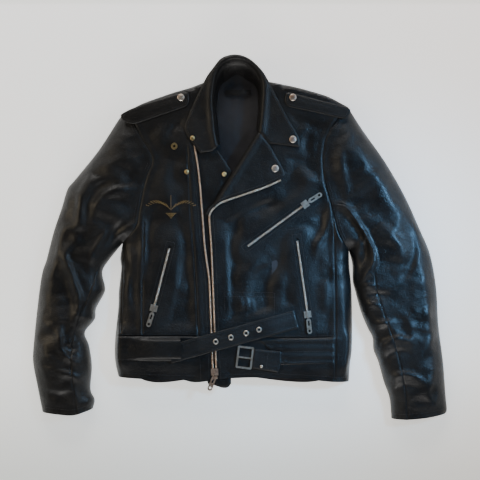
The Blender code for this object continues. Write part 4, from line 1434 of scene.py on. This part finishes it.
def make_stage():
    bpy.ops.mesh.primitive_plane_add(size=6.0, location=(0, 0, -0.0008))
    floor = bpy.context.object
    floor.name = "floor"
    made, tree, shader = new_material("floor_paper_glowing")
    where = node(tree, "ShaderNodeTexCoord").outputs["Object"]
    spot = node(tree, "ShaderNodeSeparateXYZ", {"Vector": where})
    along, across = (
        node(tree, "ShaderNodeMapRange", {"Value": spot.outputs[axis], "From Min": low, "From Max": 0.5})
        for axis, low in (("Y", -0.5), ("X", 0.0)))
    # Painted shade on the floor: its colour darkens strongly towards the front edge (low Y) and a little
    # towards the back.
    painted_shade_ramp = tree.nodes.new("ShaderNodeValToRGB")
    for place, colour in ((0.0, (0.62, 0.635, 0.615)), (0.25, (0.93, 0.94, 0.915)),
                          (1.0, (0.90, 0.915, 0.885))):
        stop = painted_shade_ramp.color_ramp.elements.new(place)
        stop.color = (*colour, 1)
    painted_shade_ramp.color_ramp.elements.remove(painted_shade_ramp.color_ramp.elements[0])
    tree.links.new(along.outputs["Result"], painted_shade_ramp.inputs["Fac"])
    # Painted warm tint towards +X, which cancels the cool light that the lamps on that side cast on the
    # floor.
    painted_warm_tint = ramp(tree, across.outputs["Result"], 0.0, 1.0, (1, 1, 1), (1.0, 0.955, 0.925))
    # Inputs 0, 6 and 7 of a colour mix are its factor and its two colours, output 2 is the result.
    mix = node(tree, "ShaderNodeMix", {0: 1.0, 6: painted_shade_ramp.outputs["Color"], 7: painted_warm_tint},
               data_type="RGBA", blend_type="MULTIPLY")
    # The floor glows: its emission is painted light that keeps the backdrop bright, with no lamp behind it.
    plug(tree, shader, {
        "Base Color": mix.outputs[2],
        "Emission Color": mix.outputs[2],
        "Emission Strength": 0.95,
        "Roughness": 0.95,
        "Specular IOR Level": 0.1,
    })
    floor.data.materials.append(made)


def area_light(name, place, size, power, colour, target=(0, 0, 0.02)):
    light = bpy.data.lights.new(name, "AREA")
    light.shape = "RECTANGLE"
    light.size, light.size_y = size
    light.energy = power
    light.color = colour
    lamp = bpy.data.objects.new(name, light)
    lamp.location = place
    lamp.rotation_euler = (Vector(target) - Vector(place)).to_track_quat("-Z", "Y").to_euler()
    bpy.context.scene.collection.objects.link(lamp)


def make_lights():
    area_light("key_right", (2.0, 0.5, 1.6), (0.9, 1.2), 8, (0.85, 0.93, 1.0))
    area_light("fill_left", (-2.0, 0.4, 1.3), (0.7, 1.2), 11, (1.0, 0.82, 0.56))
    area_light("behind", (-0.3, 2.8, 1.6), (2.6, 0.8), 52, (1.0, 0.97, 0.93))
    area_light("front", (0.0, -2.8, 1.3), (2.6, 0.6), 40, (1.0, 0.97, 0.93))
    cool = bpy.data.lights.new("cool_spot", "SPOT")
    cool.energy = 260
    cool.color = (0.22, 0.56, 1.0)
    cool.spot_size = math.radians(21)
    cool.spot_blend = 1.0
    cool.shadow_soft_size = 0.22
    lamp = bpy.data.objects.new("cool_spot", cool)
    lamp.location = (1.5, 0.5, 1.5)
    aim = Vector((0.21, -0.08, 0.03)) - lamp.location
    lamp.rotation_euler = aim.to_track_quat("-Z", "Y").to_euler()
    bpy.context.scene.collection.objects.link(lamp)
    world = bpy.data.worlds.new("studio")
    world.use_nodes = True
    tree = world.node_tree
    where = node(tree, "ShaderNodeTexCoord").outputs["Generated"]
    height = node(tree, "ShaderNodeSeparateXYZ", {"Vector": where}).outputs["Z"]
    sky = ramp(tree, height, 0.10, 0.80, (0.40, 0.40, 0.395), (0.075, 0.075, 0.078))
    tree.links.new(sky, tree.nodes["Background"].inputs["Color"])
    tree.nodes["Background"].inputs["Strength"].default_value = 0.9
    bpy.context.scene.world = world


def make_camera():
    lens = bpy.data.cameras.new("camera")
    lens.sensor_width = 36.0
    distance = 3.2
    width = 1.008
    lens.lens = 36.0 * (distance - 0.04) / width
    lens.clip_end = 50
    camera = bpy.data.objects.new("camera", lens)
    camera.location = (-0.001, -0.004, distance)
    bpy.context.scene.collection.objects.link(camera)
    bpy.context.scene.camera = camera


hardware_rests()
make_stage()
make_lights()
make_camera()
make_body()
make_sleeves()
make_back()
make_zips()
make_pockets()
make_inside()
make_collar()
make_lapel()
make_epaulettes()
make_belt()
make_stitches()
make_motif()
make_hardware()
